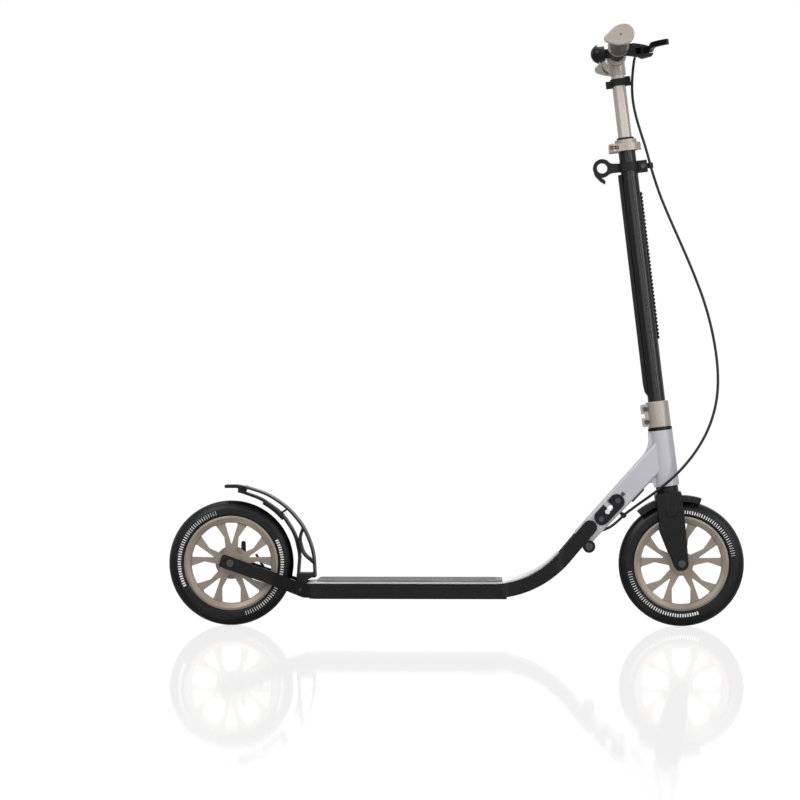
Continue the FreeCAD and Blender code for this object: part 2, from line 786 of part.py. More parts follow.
def make_lock_bolts():
    """Socket bolts that hold the lock plates, and one small bolt beside them."""
    bolts = []
    for along, above in (lock_bolt_upper, lock_bolt_lower):
        spot = neck_point(along, above)
        head = cross_rod(4.8, spot.x, spot.z, plate_outer, plate_outer + 2.4)
        shank = cross_rod(2.5, spot.x, spot.z, neck_half_width - 3, plate_outer + 0.5)
        socket = hexagon_bar(1.8, spot.x, spot.z, plate_outer + 1, plate_outer + 9)
        bolts.append(joined([head, shank]).cut(socket))
    spot = neck_point(small_bolt[0], small_bolt[1])
    bolts.append(cross_rod(3.6, spot.x, spot.z, neck_half_width, neck_half_width + 2))
    return Part.makeCompound(bolts + [mirrored(bolt) for bolt in bolts])


def make_lock_pin():
    """Cross bar that locks the fold; it slides up its slot to release."""
    spot = neck_point(lock_pin_along, lock_pin_above)
    return cross_rod(lock_pin_radius, spot.x, spot.z, -plate_outer - 2, plate_outer + 2)


def make_release_pad():
    """Push pad in a recess of the neck's front face."""
    return neck_plate([(pad_along_low, -pad_height, 2), (pad_along_high, -pad_height, 2),
                       (pad_along_high, 1.5, 0), (pad_along_low, 1.5, 0)],
                      -pad_half_width, pad_half_width)


def make_headset_bearings():
    """Upper and lower steering bearings inside the head tube."""
    bore = steerer_radius + running_clearance
    low = sleeve(head_bore_radius, bore, 1, 9)
    high = sleeve(head_bore_radius, bore, head_tube_length - 9, head_tube_length - 1)
    return leaned(Part.makeCompound([low, high]))


def make_neck_cable_clip():
    """Small saddle that holds the brake cable on the right side of the neck."""
    spot = neck_cable_point
    ring = rod(cable_radius + 2.2, spot - neck_cable_way * 4, spot + neck_cable_way * 4)
    base = neck_plate([(82, -8, 0), (88, -8, 0), (88, -0.1, 0), (82, -0.1, 0)], -16.5, -11)
    core = rod(cable_radius + 0.4, spot - neck_cable_way * 9, spot + neck_cable_way * 9)
    return joined([ring, base]).cut(core)


# ---------------------------------------------------------------- steering column
def make_fork():
    """Fork with its steerer: drawn upright, with the wheel axle at its raked place."""
    axle_x, axle_s = fork_axle_place()
    half = fork_crown_half_depth
    tip = fork_tip_radius
    blade = side_plate([(-half, -crown_gap, 4), (-half, -78, 70), (axle_x - tip, axle_s - tip, tip - 0.1),
                        (axle_x + tip, axle_s - tip, tip - 0.1), (half, -78, 70), (half, -crown_gap, 4)],
                       fork_inner_half_width, fork_outer_half_width)
    blade = rounded_edges(blade, 2.5, lambda edge: edge.BoundBox.YMin > fork_outer_half_width - 0.01)
    crown = block(-half + 1, half - 1, -fork_inner_half_width - 1, fork_inner_half_width + 1,
                  -48, -crown_gap)
    arch = cross_rod(front_fender_radius + fender_wall, axle_x, axle_s, -60, 60)
    crown = crown.cut(arch)
    steerer = post(steerer_radius, -crown_gap - 4, steerer_length)
    whole = joined([blade, mirrored(blade), crown, steerer])
    whole = whole.cut(post(steerer_radius - 3, 0, 400))
    whole = whole.cut(cross_rod(axle_radius, axle_x, axle_s, -60, 60))
    return leaned(whole)


def fork_axle_place():
    """The front axle in the fork's own upright frame: ahead of, and along, the steering axis."""
    lean = math.radians(lean_angle)
    dx = front_axle_x - head_bottom_x
    dz = axle_z - head_bottom_z
    ahead = dx * math.cos(lean) + dz * math.sin(lean)
    along = -dx * math.sin(lean) + dz * math.cos(lean)
    return ahead, along


def make_fork_caps():
    """Round caps on the outer faces of the fork, below the crown."""
    cap = cross_rod(11, 1.7, -46.3, fork_outer_half_width, fork_outer_half_width + 2.5)
    cap = rounded_edges(cap, 1.5, lambda edge: edge.BoundBox.YMin > fork_outer_half_width + 2)
    return leaned(both_sides(cap))


def make_front_fender():
    """Short mudguard with side skirts under the fork crown."""
    top = front_fender_radius + fender_wall
    skirt = top - 12
    half = fork_inner_half_width - 0.5
    section = [(skirt, half, 0.5), (top, half, 3), (top, -half, 3), (skirt, -half, 0.5),
               (skirt, -half + 2.3, 0.5), (front_fender_radius, -half + 2.3, 2),
               (front_fender_radius, half - 2.3, 2), (skirt, half - 2.3, 0.5)]
    arc = arc_profile(section, 73, 57)
    return moved(arc, front_axle_x, 0, axle_z)


def make_crown_race():
    """Lower headset ring between the crown and the head tube."""
    ring = sleeve(20.5, steerer_radius, -crown_gap, -part_clearance)
    return leaned(rounded_edges(ring, 1.5, lambda edge: edge.Length > 125 and edge.BoundBox.ZMax > -2))


def make_headset_cap():
    """Black ring on top of the head tube."""
    low = head_tube_length + part_clearance
    return leaned(sleeve(22.3, steerer_radius, low, clamp_bottom - 0.2))


def make_fork_clamp():
    """Split collar with two bolts that clamps the column to the steerer."""
    ring = post(clamp_outer_radius, clamp_bottom, clamp_top)
    ears = block(-31, -15, -10, 10, clamp_bottom + 3, clamp_top - 3)
    ears = rounded_edges(ears, 4, lambda edge: edge.BoundBox.YLength > 10 and edge.BoundBox.XMax < -30)
    collar = joined([ring, ears])
    collar = rounded_edges(collar, 1.2, lambda edge: edge.BoundBox.ZLength < 0.01 and edge.Length > 60)
    collar = collar.cut(post(steering_tube_radius, clamp_bottom - 1, clamp_top + 1))
    waist = block(-31, -24.5, -20, 20, clamp_bottom + 20, clamp_bottom + 27)
    collar = collar.cut(waist)
    slit = block(-40, 0, -1.0, 1.0, clamp_bottom - 1, clamp_top + 1)
    collar = collar.cut(slit)
    for level in clamp_bolt_levels:
        collar = collar.cut(cross_rod(2.5, clamp_bolt_x, level, -40, 40))
    return leaned(collar)


clamp_bolt_x = -23.0
clamp_bolt_levels = (clamp_bottom + 12, clamp_top - 12)


def make_clamp_bolts():
    bolts = []
    for level in clamp_bolt_levels:
        shank = cross_rod(2.5, clamp_bolt_x, level, -10, 10)
        for low in (-13.0, 10.0):
            head = cross_rod(4.6, clamp_bolt_x, level, low, low + 3)
            shank = shank.fuse(head)
        socket = hexagon_bar(2, clamp_bolt_x, level, -20, -11)
        bolts.append(shank.cut(socket))
    return leaned(Part.makeCompound(bolts))


def make_steering_tube():
    """Outer column tube."""
    return leaned(sleeve(steering_tube_radius, steering_tube_bore, clamp_bottom + 1, steering_tube_top))


rack_low = 271.0
rack_high = 550.0
rack_pitch = 7.0
rail_low = 168.0
rail_high = 579.0


def make_front_rack():
    """Toothed strip on the front of the column."""
    count = int((rack_high - rack_low) / rack_pitch)
    base = steering_tube_radius - 0.6
    corners = [(base, rack_low, 0)]
    for index in range(count):
        low = rack_low + index * rack_pitch
        corners.append((steering_tube_radius + 1.2, low, 0))
        corners.append((steering_tube_radius + 3.2, low + 1.4, 0))
        corners.append((steering_tube_radius + 3.2, low + 4.6, 0))
        corners.append((steering_tube_radius + 1.2, low + 6.0, 0))
    corners.append((base, rack_low + count * rack_pitch, 0))
    strip = side_plate(corners, -3.5, 3.5)
    return leaned(strip.cut(post(steering_tube_radius, rack_low - 5, rack_high + 5)))


def make_rear_rail():
    """Plain rail on the back of the column, with a slanted lower end."""
    back = -steering_tube_radius - 5.5
    strip = side_plate([(-steering_tube_radius + 1, rail_low, 0), (back + 1.5, rail_low + 8, 2),
                        (back, rail_low + 22, 4), (back, rail_high, 1.5),
                        (-steering_tube_radius + 1, rail_high, 0)], -6, 6)
    return leaned(strip.cut(post(steering_tube_radius, rail_low - 5, rail_high + 5)))


hook_ring_x = -48.9
hook_ring_level = 595.0
hook_ring_bore = 9.5
hook_ring_radius = 17.0
hook_half_width = 5.0
hook_band_low = 584.0
hook_band_high = 600.0


def make_carry_hook():
    """Band on the column with a ring and a hook behind it, and clamp ears in front."""
    band = post(steering_tube_radius + 3.5, hook_band_low, hook_band_high)
    arm = block(-40, -14, -hook_half_width, hook_half_width, hook_band_low, hook_band_high)
    ring = cross_rod(hook_ring_radius, hook_ring_x, hook_ring_level, -hook_half_width, hook_half_width)
    finger = side_plate([(-65.8, 595, 0), (-64, 583, 12), (-55.6, 571.5, 12), (-46.6, 564.4, 1),
                         (-45.6, 571, 1), (-50.5, 576.5, 3), (-57, 583, 0), (-56, 595, 0)],
                        -hook_half_width, hook_half_width)
    flare = side_plate([(-41, 609.5, 0), (-32, 601.5, 14), (-17, 600, 0), (-17, 584, 0),
                        (-30, 584.5, 0), (-37, 582.6, 0)], -hook_half_width, hook_half_width)
    ears = block(14, 34, -7, 7, hook_band_low - 5, hook_band_high + 1)
    hook = joined([band, arm, ring, finger, flare, ears])
    hook = hook.cut(post(steering_tube_radius, 500, 700))
    hook = hook.cut(cross_rod(hook_ring_bore, hook_ring_x, hook_ring_level, -20, 20))
    hook = hook.cut(block(0, 60, -0.8, 0.8, 500, 700))
    return leaned(hook.cut(cross_rod(2.5, 26, 590, -20, 20)))


def make_hook_screw():
    shank = cross_rod(2.5, 26, 590, -7, 7)
    head = cross_rod(4.5, 26, 590, -10, -7)
    nut = hexagon_bar(4.6, 26, 590, 7, 10)
    return leaned(joined([shank, head, nut]).cut(hexagon_bar(1.8, 26, 590, -12, -8.5)))


clip_x = 39.9
clip_level = 590.0
cable_clip_play = 1.0            # a cable slides through its clips with this much room


def make_column_cable_clip():
    """Ring in front of the clamp ears that the brake cable passes through."""
    bore = cable_radius + cable_clip_play
    ring = sleeve(bore + 1.6, bore, clip_level - 5, clip_level + 5, clip_x, 0)
    stalk = block(34, clip_x - bore - 0.5, -3, 3, clip_level - 4, clip_level + 4)
    core = post(bore, clip_level - 9, clip_level + 9, clip_x, 0)
    return leaned(joined([ring, stalk]).cut(core))


# ---------------------------------------------------------------- quick release
qr_low = 621.0
qr_high = 642.0
qr_bolt_y = -25.0
qr_bolt_level = 628.0
qr_pivot_x = -24.0
qr_boss_radius = 7.5


def on_right(shape):
    """Quick-release piece drawn with its ears to the right, turned so that they point back."""
    return leaned(shape.mirror(origin, vec(1, -1, 0)))


def make_qr_collar():
    """Split collar that grips the inner tube, with ears towards the rider."""
    ring = post(20.5, qr_low, qr_high)
    ears = block(-13, 13, -33, -12, qr_bolt_level - 8, qr_bolt_level + 8)
    ears = rounded_edges(ears, 3, lambda edge: edge.BoundBox.XLength > 20 and edge.BoundBox.YMax < -32)
    collar = joined([ring, ears])
    collar = collar.cut(post(steering_tube_radius, qr_low - 1, steering_tube_top + part_clearance))
    collar = collar.cut(post(inner_tube_radius + running_clearance, qr_low, qr_high + 1))
    collar = collar.cut(block(-1.2, 1.2, -60, 0, qr_low - 1, qr_high + 1))
    bolt_bore = rod(3.0, vec(-40, qr_bolt_y, qr_bolt_level), vec(40, qr_bolt_y, qr_bolt_level))
    return on_right(collar.cut(bolt_bore))


def make_qr_bolt():
    """Bolt through the collar's ears, with its nut, eye and the lever's pin."""
    shank = rod(3.0, vec(qr_pivot_x, qr_bolt_y, qr_bolt_level), vec(23, qr_bolt_y, qr_bolt_level))
    nut = rod(6.5, vec(13, qr_bolt_y, qr_bolt_level), vec(21, qr_bolt_y, qr_bolt_level))
    eye = post(4.6, qr_bolt_level - 3, qr_bolt_level + 3, qr_pivot_x, qr_bolt_y)
    pin = post(2.5, qr_bolt_level - 8, qr_bolt_level + 8, qr_pivot_x, qr_bolt_y)
    return on_right(joined([shank, nut, eye, pin]))


def make_qr_lever():
    """Cam lever that wraps round the right side of the collar."""
    low = qr_bolt_level - 7
    high = qr_bolt_level + 7
    boss = post(qr_boss_radius, low, high, qr_pivot_x, qr_bolt_y)
    wrap = sleeve(27.0, 22.5, low, high)
    sector_edge = 80.0
    keep = Part.makeCylinder(60, high - low, vec(0, 0, low), along_z, 115)
    keep = turned(keep, origin, along_z, sector_edge)
    blade = wrap.common(keep)
    bridge = block(qr_pivot_x - 3.5, qr_pivot_x + 2, qr_bolt_y, -3, low, high)
    lever = joined([boss, blade, bridge])
    slot = post(qr_boss_radius + 3, qr_bolt_level - 3.5, qr_bolt_level + 3.5, qr_pivot_x, qr_bolt_y)
    lever = lever.cut(slot)
    lever = lever.cut(post(2.5 + running_clearance, low - 1, high + 1, qr_pivot_x, qr_bolt_y))
    return on_right(lever)


def make_tube_bush():
    """Black wiper ring at the mouth of the collar."""
    ring = sleeve(15.8, inner_tube_radius + running_clearance, qr_high, qr_high + 4)
    return leaned(ring)


# ---------------------------------------------------------------- inner tube and handlebar
tee_collar_radius = 19.0
tee_half_width = 30.0
bend_y = 75.0
grip_inner_y = bar_half_width - grip_length


def tube_profile(radius, flat, z_low, z_high):
    """Round bar with two flat sides."""
    bar = post(radius, z_low, z_high)
    return bar.common(block(-radius - 1, radius + 1, -flat, flat, z_low, z_high))


def make_inner_tube():
    """Telescopic tube with flat sides."""
    top = bar_level - tee_collar_radius + 4
    tube = tube_profile(inner_tube_radius, inner_tube_flat, inner_tube_bottom, top)
    return leaned(tube.cut(post(inner_tube_radius - 2.4, inner_tube_bottom - 1, top + 1)))


def make_inner_bush():
    """Guide ring at the foot of the inner tube."""
    ring = sleeve(steering_tube_bore - running_clearance, inner_tube_radius,
                  inner_tube_bottom + 2, inner_tube_bottom + 14)
    return leaned(ring)


def make_stem_tee():
    """Collar that joins the inner tube to the handlebar."""
    across = cross_rod(tee_collar_radius, 0, bar_level, -tee_half_width, tee_half_width)
    across = rounded_edges(across, 3, lambda edge: edge.Curve.TypeId == "Part::GeomCircle")
    stub = post(15.6, bar_level - 34, bar_level)
    tee = joined([across, stub])
    tee = tee.cut(cross_rod(bar_radius, 0, bar_level, -60, 60))
    inner = tube_profile(inner_tube_radius, inner_tube_flat, 400, bar_level - tee_collar_radius + 4)
    return leaned(tee.cut(inner))


def bar_spot(y, ahead=0.0):
    """Point on the handlebar's middle line, which rises towards its ends."""
    slope = bar_rise / (bar_half_width - bend_y)
    return vec(ahead, y, bar_level + slope * max(abs(y) - bend_y, 0))


def bar_run(radius, y_start, y_end):
    """Round piece along the rising part of the left bar."""
    return rod(radius, bar_spot(y_start), bar_spot(y_end))


def make_handlebar():
    middle = cross_rod(bar_radius, 0, bar_level, -bend_y, bend_y)
    left = bar_run(bar_radius, bend_y, bar_half_width + 2)
    knee = Part.makeSphere(bar_radius, bar_spot(bend_y))
    bar = joined([middle, left, mirrored(left), knee, mirrored(knee)])
    hollow = cross_rod(bar_radius - 2, 0, bar_level, -bend_y, bend_y)
    return leaned(bar.cut(hollow).common(bar_width_limit()))


def bar_width_limit():
    """Everything between the two ends of the handlebar."""
    return block(-200, 200, -bar_half_width, bar_half_width, 0, 2 * bar_level)


def make_grip():
    """Left grip: a sleeve with a ring at its inner end and shallow ribs."""
    body = bar_run(grip_radius, grip_inner_y, bar_half_width + 2)
    ring = bar_run(grip_radius + 3.5, grip_inner_y, grip_inner_y + 5)
    grip = joined([body, ring])
    rib_count = 14
    rib_pitch = (grip_length - 22) / rib_count
    for index in range(rib_count):
        start = grip_inner_y + 12 + index * rib_pitch
        groove = bar_run(grip_radius + 1, start, start + 2).cut(bar_run(grip_radius - 0.9, start, start + 2))
        grip = grip.cut(groove)
    grip = grip.cut(bar_run(bar_radius, grip_inner_y - 5, bar_half_width + 5))
    return leaned(grip.common(bar_width_limit()))


def make_grip_end():
    """Teardrop flange on the end of the left grip, its tip towards the rider."""
    level = bar_spot(bar_half_width).z
    corners = [(24.5, level + 18.5, 18), (-6, level + 18.5, 34), (-31, level - 2, 6),
               (-28, level - 10, 6), (-8, level - 18.5, 30), (24.5, level - 18.5, 18)]
    flange = side_plate(corners, bar_half_width, bar_half_width + 7)
    flange = rounded_edges(flange, 2.5, lambda edge: edge.BoundBox.YMin > bar_half_width + 6.9)
    return leaned(flange.cut(cross_rod(2.2, 0, level, bar_half_width + 3, 400)))


def make_stem_band():
    """Black band clip round the inner tube below the handlebar."""
    low = 742.0
    high = 755.0
    band = post(inner_tube_radius + 2.6, low, high)
    tail = block(-24, -10, -5, 5, low - 3, high - 3)
    nose = block(10, 22, -5, 5, low - 1, high + 3)
    band = joined([band, tail, nose])
    return leaned(band.cut(tube_profile(inner_tube_radius, inner_tube_flat, 600, 900)))


# ---------------------------------------------------------------- brake lever and bell
lever_pivot_x = 44.0
lever_pivot_y = -100.0
lever_level = bar_level - 6.0
lever_pin_radius = 3.0


def make_brake_bracket():
    """Clamp on the right bar with the arms that hold the brake lever."""
    clamp = cross_rod(bar_radius + 4.5, 0, bar_level, -112, -94)
    arm = plan_plate([(8, -112, 3), (lever_pivot_x - 4, -112, 4), (lever_pivot_x + 20, -106, 6),
                      (lever_pivot_x + 20, -94, 6), (lever_pivot_x - 6, -84, 4), (8, -92, 3)],
                     lever_level - 20, lever_level + 20)
    profile = side_plate([(8, 806, 0), (30, 805, 8), (46, 801, 10), (60, 796, 6), (65, 787, 5),
                          (61, 779, 5), (42, 777, 4), (36, 781, 6), (24, 784, 6), (8, 787, 0)], -120, -80)
    arm = arm.common(profile)
    body = joined([clamp, arm])
    body = body.cut(mirrored(bar_run(bar_radius, bend_y, bar_half_width)))
    slot = block(lever_pivot_x - 13, lever_pivot_x + 20, -130, -90, lever_level - 5.5, lever_level + 5.5)
    return leaned(body.cut(slot))


def make_lever_pin():
    pin = post(lever_pin_radius, lever_level - 12, lever_level + 12, lever_pivot_x, lever_pivot_y)
    return leaned(pin)


def make_brake_lever():
    """Two-finger blade in front of the right grip."""
    boss = post(6.5, lever_level - 5, lever_level + 5, lever_pivot_x, lever_pivot_y)
    points = [(lever_pivot_x, lever_pivot_y, 0), (lever_pivot_x + 16, lever_pivot_y - 14, 20),
              (lever_pivot_x + 14, lever_pivot_y - 50, 60), (lever_pivot_x + 16, lever_pivot_y - 88, 30),
              (lever_pivot_x + 40, lever_pivot_y - 106, 0)]
    lever = joined([boss, blade_in_plan(points, 7.5, lever_level - 5, lever_level + 5)])
    lever = lever.cut(post(lever_pin_radius + running_clearance, lever_level - 20, lever_level + 20,
                           lever_pivot_x, lever_pivot_y))
    return leaned(lever)


def blade_in_plan(points, thickness, z_low, z_high):
    """Ribbon drawn in plan (x, y, corner radius)."""
    upright = ribbon(points, thickness, z_low, z_high)
    matrix = FreeCAD.Matrix(1, 0, 0, 0, 0, 0, 1, 0, 0, 1, 0, 0)
    return upright.transformGeometry(matrix)


def make_cable_adjuster():
    """Barrel adjuster where the brake cable leaves the bracket."""
    start = vec(34, -84, lever_level)
    end = start + adjuster_way * 15
    barrel = rod(4.2, start, end)
    collar = rod(5.2, start + adjuster_way * 3, start + adjuster_way * 8)
    bore = rod(cable_radius, start + adjuster_way * 6, end + adjuster_way)
    return leaned(joined([barrel, collar]).cut(bore))


adjuster_way = vec(-0.1, 0.97, -0.22).normalize()

bell_y = -62.0
bell_x = -38.0
striker_y = bell_y + 19.0
bell_level = bar_level + 2.0


def make_bell_base():
    """Clamp and body of the bell, behind the right bar."""
    clamp = cross_rod(bar_radius + 3.5, 0, bar_level, bell_y - 7, bell_y + 7)
    arm = block(-26, -9, bell_y - 6, bell_y + 6, bar_level - 7, bar_level + 9)
    body = rod(13.5, vec(-22, bell_y, bell_level), vec(bell_x + 4, bell_y, bell_level))
    lug = block(-24, -20, bell_y, striker_y + 3.5, bell_level - 4, bell_level + 4)
    pin = rod(2, vec(-36, striker_y, bell_level), vec(-20, striker_y, bell_level))
    base = joined([clamp, arm, body, lug, pin])
    return leaned(base.cut(cross_rod(bar_radius, 0, bar_level, -120, 0)))


def make_bell_dome():
    """Domed gong on the back of the bell's body."""
    ball = Part.makeSphere(18, vec(bell_x + 8, bell_y, bell_level))
    cup = ball.common(block(bell_x - 20, bell_x + 3.6, -120, 0, 600, 900))
    inner = Part.makeSphere(16.4, vec(bell_x + 8, bell_y, bell_level))
    return leaned(cup.cut(inner.common(block(bell_x - 8.2, 30, -120, 0, 600, 900))))


def make_bell_striker():
    """Thumb lever of the bell."""
    hub = rod(4.5, vec(-24.4, striker_y, bell_level), vec(-34, striker_y, bell_level))
    stem = rod(1.8, vec(-29, striker_y + 3, bell_level - 1.5), vec(-29, striker_y + 16, bell_level - 8))
    knob = Part.makeSphere(4.0, vec(-29, striker_y + 17, bell_level - 8.5))
    bore = rod(2 + running_clearance, vec(-10, striker_y, bell_level), vec(-50, striker_y, bell_level))
    return leaned(joined([hub, stem, knob]).cut(bore))


# ---------------------------------------------------------------- brake cable
# Each span is a list of points on the cable's route; its ends meet a clip or a ferrule.
neck_cable_point = neck_point(85.0, -7.5, -15.0)
neck_cable_way = vec(math.cos(math.radians(neck_slope)), 0, math.sin(math.radians(neck_slope)))

cable_upper = [(328.1, -71.4, 1043.3), (326.6, -52, 1038.6), (325, -35, 1022), (323.5, -21, 996),
               (325.5, -10, 966), (332, -5, 937), (341, -1.5, 908), (351.0, 0, 878), (358.6, 0, 849.2)]
cable_bow = [(358.7, 0, 848.4), (371, -1, 806), (393, -4, 752), (416, -8, 700), (439, -13, 645),
             (459, -18, 590), (473, -23, 533), (481, -28, 475), (480, -32, 420), (466, -36, 368),
             (441, -38, 322), (406, -36, 280), (364, -29, 245), (333, -20, 223),
             tuple(neck_point(87.6, -7.5, -15))]


def pipe_path(points):
    """Straight runs joined by tangent arcs; returns the wire, its length and its radii."""
    spots = [vec(*point) for point in points]
    edges = []
    radii = []
    start = spots[0]
    for before, here, after in zip(spots, spots[1:], spots[2:]):
        back = (before - here).normalize()
        ahead = (after - here).normalize()
        turn = math.pi - back.getAngle(ahead)
        shorter = min((before - here).Length, (after - here).Length)
        setback = 0.45 * shorter
        radius = setback / math.tan(turn / 2)
        half = (math.pi - turn) / 2
        middle = (back + ahead).normalize()
        crest = here + middle * (radius / math.sin(half) - radius)
        arc_start = here + back * setback
        arc_end = here + ahead * setback
        edges.append(Part.LineSegment(start, arc_start).toShape())
        edges.append(Part.Arc(arc_start, crest, arc_end).toShape())
        radii.append(round(radius, 1))
        start = arc_end
    edges.append(Part.LineSegment(start, spots[-1]).toShape())
    wire = Part.Wire(edges)
    return wire, wire.Length, radii


def make_cable(name, points):
    """Round tube along a route; prints its length, its bends and its volume check."""
    wire, length, radii = pipe_path(points)
    way = (vec(*points[1]) - vec(*points[0])).normalize()
    section = Part.Wire(Part.makeCircle(cable_radius, vec(*points[0]), way))
    tube = wire.makePipeShell([section], True, True)
    expected = math.pi * cable_radius ** 2 * length
    print(name, "length", round(length, 1), "volume ratio", round(tube.Volume / expected, 4), "radii", radii)
    return tube


def neck_route(spots):
    """Route points given as (distance up the neck, above its lower face, y)."""
    return [tuple(neck_point(along, above, y)) for along, above, y in spots]


cable_joint_x, cable_joint_z = riser_point(80, -12)
cable_lower = neck_route([(84.8, -7.5, -15), (62, -7, -14.5), (43, -1, -13), (27, 9, -11.5),
                          (10, 17.5, -10.5), (-9, 21.5, -10)]) + [(cable_joint_x, -10, cable_joint_z)]
cable_deck = [(cable_joint_x - 0.2, -10, cable_joint_z - 0.2), (186, -10, 111.5), (163, -10, 89),
              (120, -11, 71), (68, -11, 66),
              (10, -11, 66), (-48, -10, 65), (-106, -9, 66), (-164, -6, 66), (-218, 3, 64),
              (-252, 12, 60.5), (-278, 17.5, 57.8), (-306, 20.5, 61), (-332, 20.8, 74), (-356, 21, 102), (-371, 21, 130)]


# ---------------------------------------------------------------- the whole scooter
def make_column_parts():
    """Pieces that turn with the fork."""
    return {
        "fork": Part.makeCompound([make_fork(), make_fork_caps()]),
        "front_fender": make_front_fender(),
        "front_axle": make_axle_set(front_axle_x, fork_inner_half_width, fork_outer_half_width),
        "headset_rings": Part.makeCompound([make_crown_race(), make_headset_cap()]),
        "fork_clamp": make_fork_clamp(),
        "column_bolts": Part.makeCompound([make_clamp_bolts(), make_hook_screw()]),
        "steering_tube": make_steering_tube(),
        "column_rails": Part.makeCompound([make_front_rack(), make_rear_rail()]),
        "carry_hook": Part.makeCompound([make_carry_hook(), make_column_cable_clip()]),
        "quick_release_collar": make_qr_collar(),
        "quick_release_bolt": make_qr_bolt(),
        "quick_release_lever": make_qr_lever(),
        "tube_wiper": make_tube_bush(),
    }


def make_deck_parts():
    """Pieces fixed to the deck, and the levers and guards hinged on it."""
    rail = make_side_rail()
    return {
        "deck_extrusion": Part.makeCompound([make_deck_extrusion(), make_rear_bridge()]),
        "grip_mat": make_grip_mat(),
        "side_rail_left": rail,
        "side_rail_right": mirrored(rail),
        "under_cover": Part.makeCompound([make_under_cover(), make_front_web()]),
        "front_plate": make_front_plate(),
        "fold_pivot_pin": Part.makeCompound([make_pivot_pin(), make_cheek_bolts()]),
        "fender_hinge_pin": make_fender_pin(),
        "rear_axle": make_axle_set(rear_axle_x, arm_half_width - arm_thickness, arm_half_width),
        "brake_backing_plate": Part.makeCompound([make_backing_plate(), make_brake_shoes()]),
        "brake_drum": make_brake_drum(),
        "brake_arm": make_brake_arm(),
        "kickstand_bracket": make_stand_bracket(),
        "kickstand_leg": make_stand_leg(),
        "kickstand_foot": make_stand_foot(),
        "rear_fender": make_rear_fender(),
        "rear_fender_pad": make_fender_pad(),
    }


def make_neck_parts():
    """The folding neck, its lock and the steering bearings."""
    return {
        "neck_frame": make_neck_frame(),
        "fold_bushes": make_fold_bushes(),
        "lock_plates": both_sides(make_lock_plate()),
        "lock_plate_bolts": make_lock_bolts(),
        "lock_pin": make_lock_pin(),
        "release_pad": make_release_pad(),
        "headset_bearings": make_headset_bearings(),
        "neck_cable_clip": make_neck_cable_clip(),
    }


def make_handlebar_parts():
    """Pieces that rise and lower with the handlebar."""
    return {
        "inner_tube": Part.makeCompound([make_inner_tube(), make_inner_bush()]),
        "stem_tee": make_stem_tee(),
        "handlebar": make_handlebar(),
        "stem_band": make_stem_band(),
        "grips": both_sides(make_grip()),
        "grip_ends": both_sides(make_grip_end()),
        "brake_bracket": Part.makeCompound([make_brake_bracket(), make_lever_pin()]),
        "brake_lever": make_brake_lever(),
        "cable_adjuster": make_cable_adjuster(),
        "bell_base": make_bell_base(),
        "bell_dome": make_bell_dome(),
        "bell_striker": make_bell_striker(),
    }


def make_cable_parts():
    """The brake cable in four spans, from the lever to the drum brake."""
    return {
        "brake_cable_upper": make_cable("upper", cable_upper),
        "brake_cable_bow": make_cable("bow", cable_bow),
        "brake_cable_lower": make_cable("lower", cable_lower),
        "brake_cable_deck": make_cable("deck", cable_deck),
    }


def make_all_parts():
    """Every piece of the scooter by name."""
    parts = {}
    for group in (make_deck_parts, make_neck_parts, make_column_parts, make_handlebar_parts,
                  make_cable_parts):
        parts.update(group())
    parts.update(wheel_parts("front", front_axle_x))
    parts.update(wheel_parts("rear", rear_axle_x))
    return parts


os.makedirs("parts", exist_ok=True)
for part_name, part_shape in make_all_parts().items():
    part_shape.exportStep("parts/" + part_name + ".step")
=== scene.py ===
"""Looks of a folding kick scooter with two large wheels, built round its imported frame."""
import logging
import math
from dataclasses import dataclass
from enum import Enum
from typing import Sequence

import bpy
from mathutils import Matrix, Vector


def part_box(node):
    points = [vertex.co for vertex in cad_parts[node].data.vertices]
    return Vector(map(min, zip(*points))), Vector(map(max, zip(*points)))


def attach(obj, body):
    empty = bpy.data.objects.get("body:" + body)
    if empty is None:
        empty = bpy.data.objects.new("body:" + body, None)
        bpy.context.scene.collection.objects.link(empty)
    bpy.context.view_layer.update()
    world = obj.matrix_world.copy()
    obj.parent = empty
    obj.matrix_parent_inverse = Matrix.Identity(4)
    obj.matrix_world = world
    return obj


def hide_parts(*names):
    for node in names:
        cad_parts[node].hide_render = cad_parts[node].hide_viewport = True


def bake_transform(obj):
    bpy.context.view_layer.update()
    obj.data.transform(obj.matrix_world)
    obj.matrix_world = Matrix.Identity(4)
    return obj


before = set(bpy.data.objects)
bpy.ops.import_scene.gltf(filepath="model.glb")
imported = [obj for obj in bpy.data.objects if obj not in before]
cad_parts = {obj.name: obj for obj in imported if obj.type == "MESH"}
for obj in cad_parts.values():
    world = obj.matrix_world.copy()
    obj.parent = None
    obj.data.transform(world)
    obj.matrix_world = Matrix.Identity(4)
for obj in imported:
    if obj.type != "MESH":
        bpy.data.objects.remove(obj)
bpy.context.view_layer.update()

MM = 0.001
Point = tuple[float, float, float]

logging.basicConfig(level=logging.INFO, format="%(message)s")
log = logging.getLogger("kick_scooter")


# ------------------------------------------------------------------ shader tools
class Grain(Enum):
    """Surface texture that a finish has."""

    PAINT = "paint"
    CAST = "cast"
    BRUSHED = "brushed"
    RUBBER = "rubber"
    MOULDED = "moulded"


@dataclass(frozen=True)
class Finish:
    """One finish of the scooter, with sizes in metres."""

    name: str
    colour: tuple[float, float, float]
    grain: Grain
    rough: float = 0.45
    rough_spread: float = 0.1
    metallic: float = 0.0
    coat: float = 0.0
    coat_rough: float = 0.1
    grain_size: float = 0.0008
    bump: float = 0.00003
    mottle: float = 0.08
    dust: float = 0.1
    dust_colour: tuple[float, float, float] = (0.42, 0.38, 0.33)
    specular: float = 0.5
    stretch: Point = (1.0, 1.0, 1.0)
    band_reach: float = 0.0
    band_colour: tuple[float, float, float] = (0.4, 0.4, 0.4)


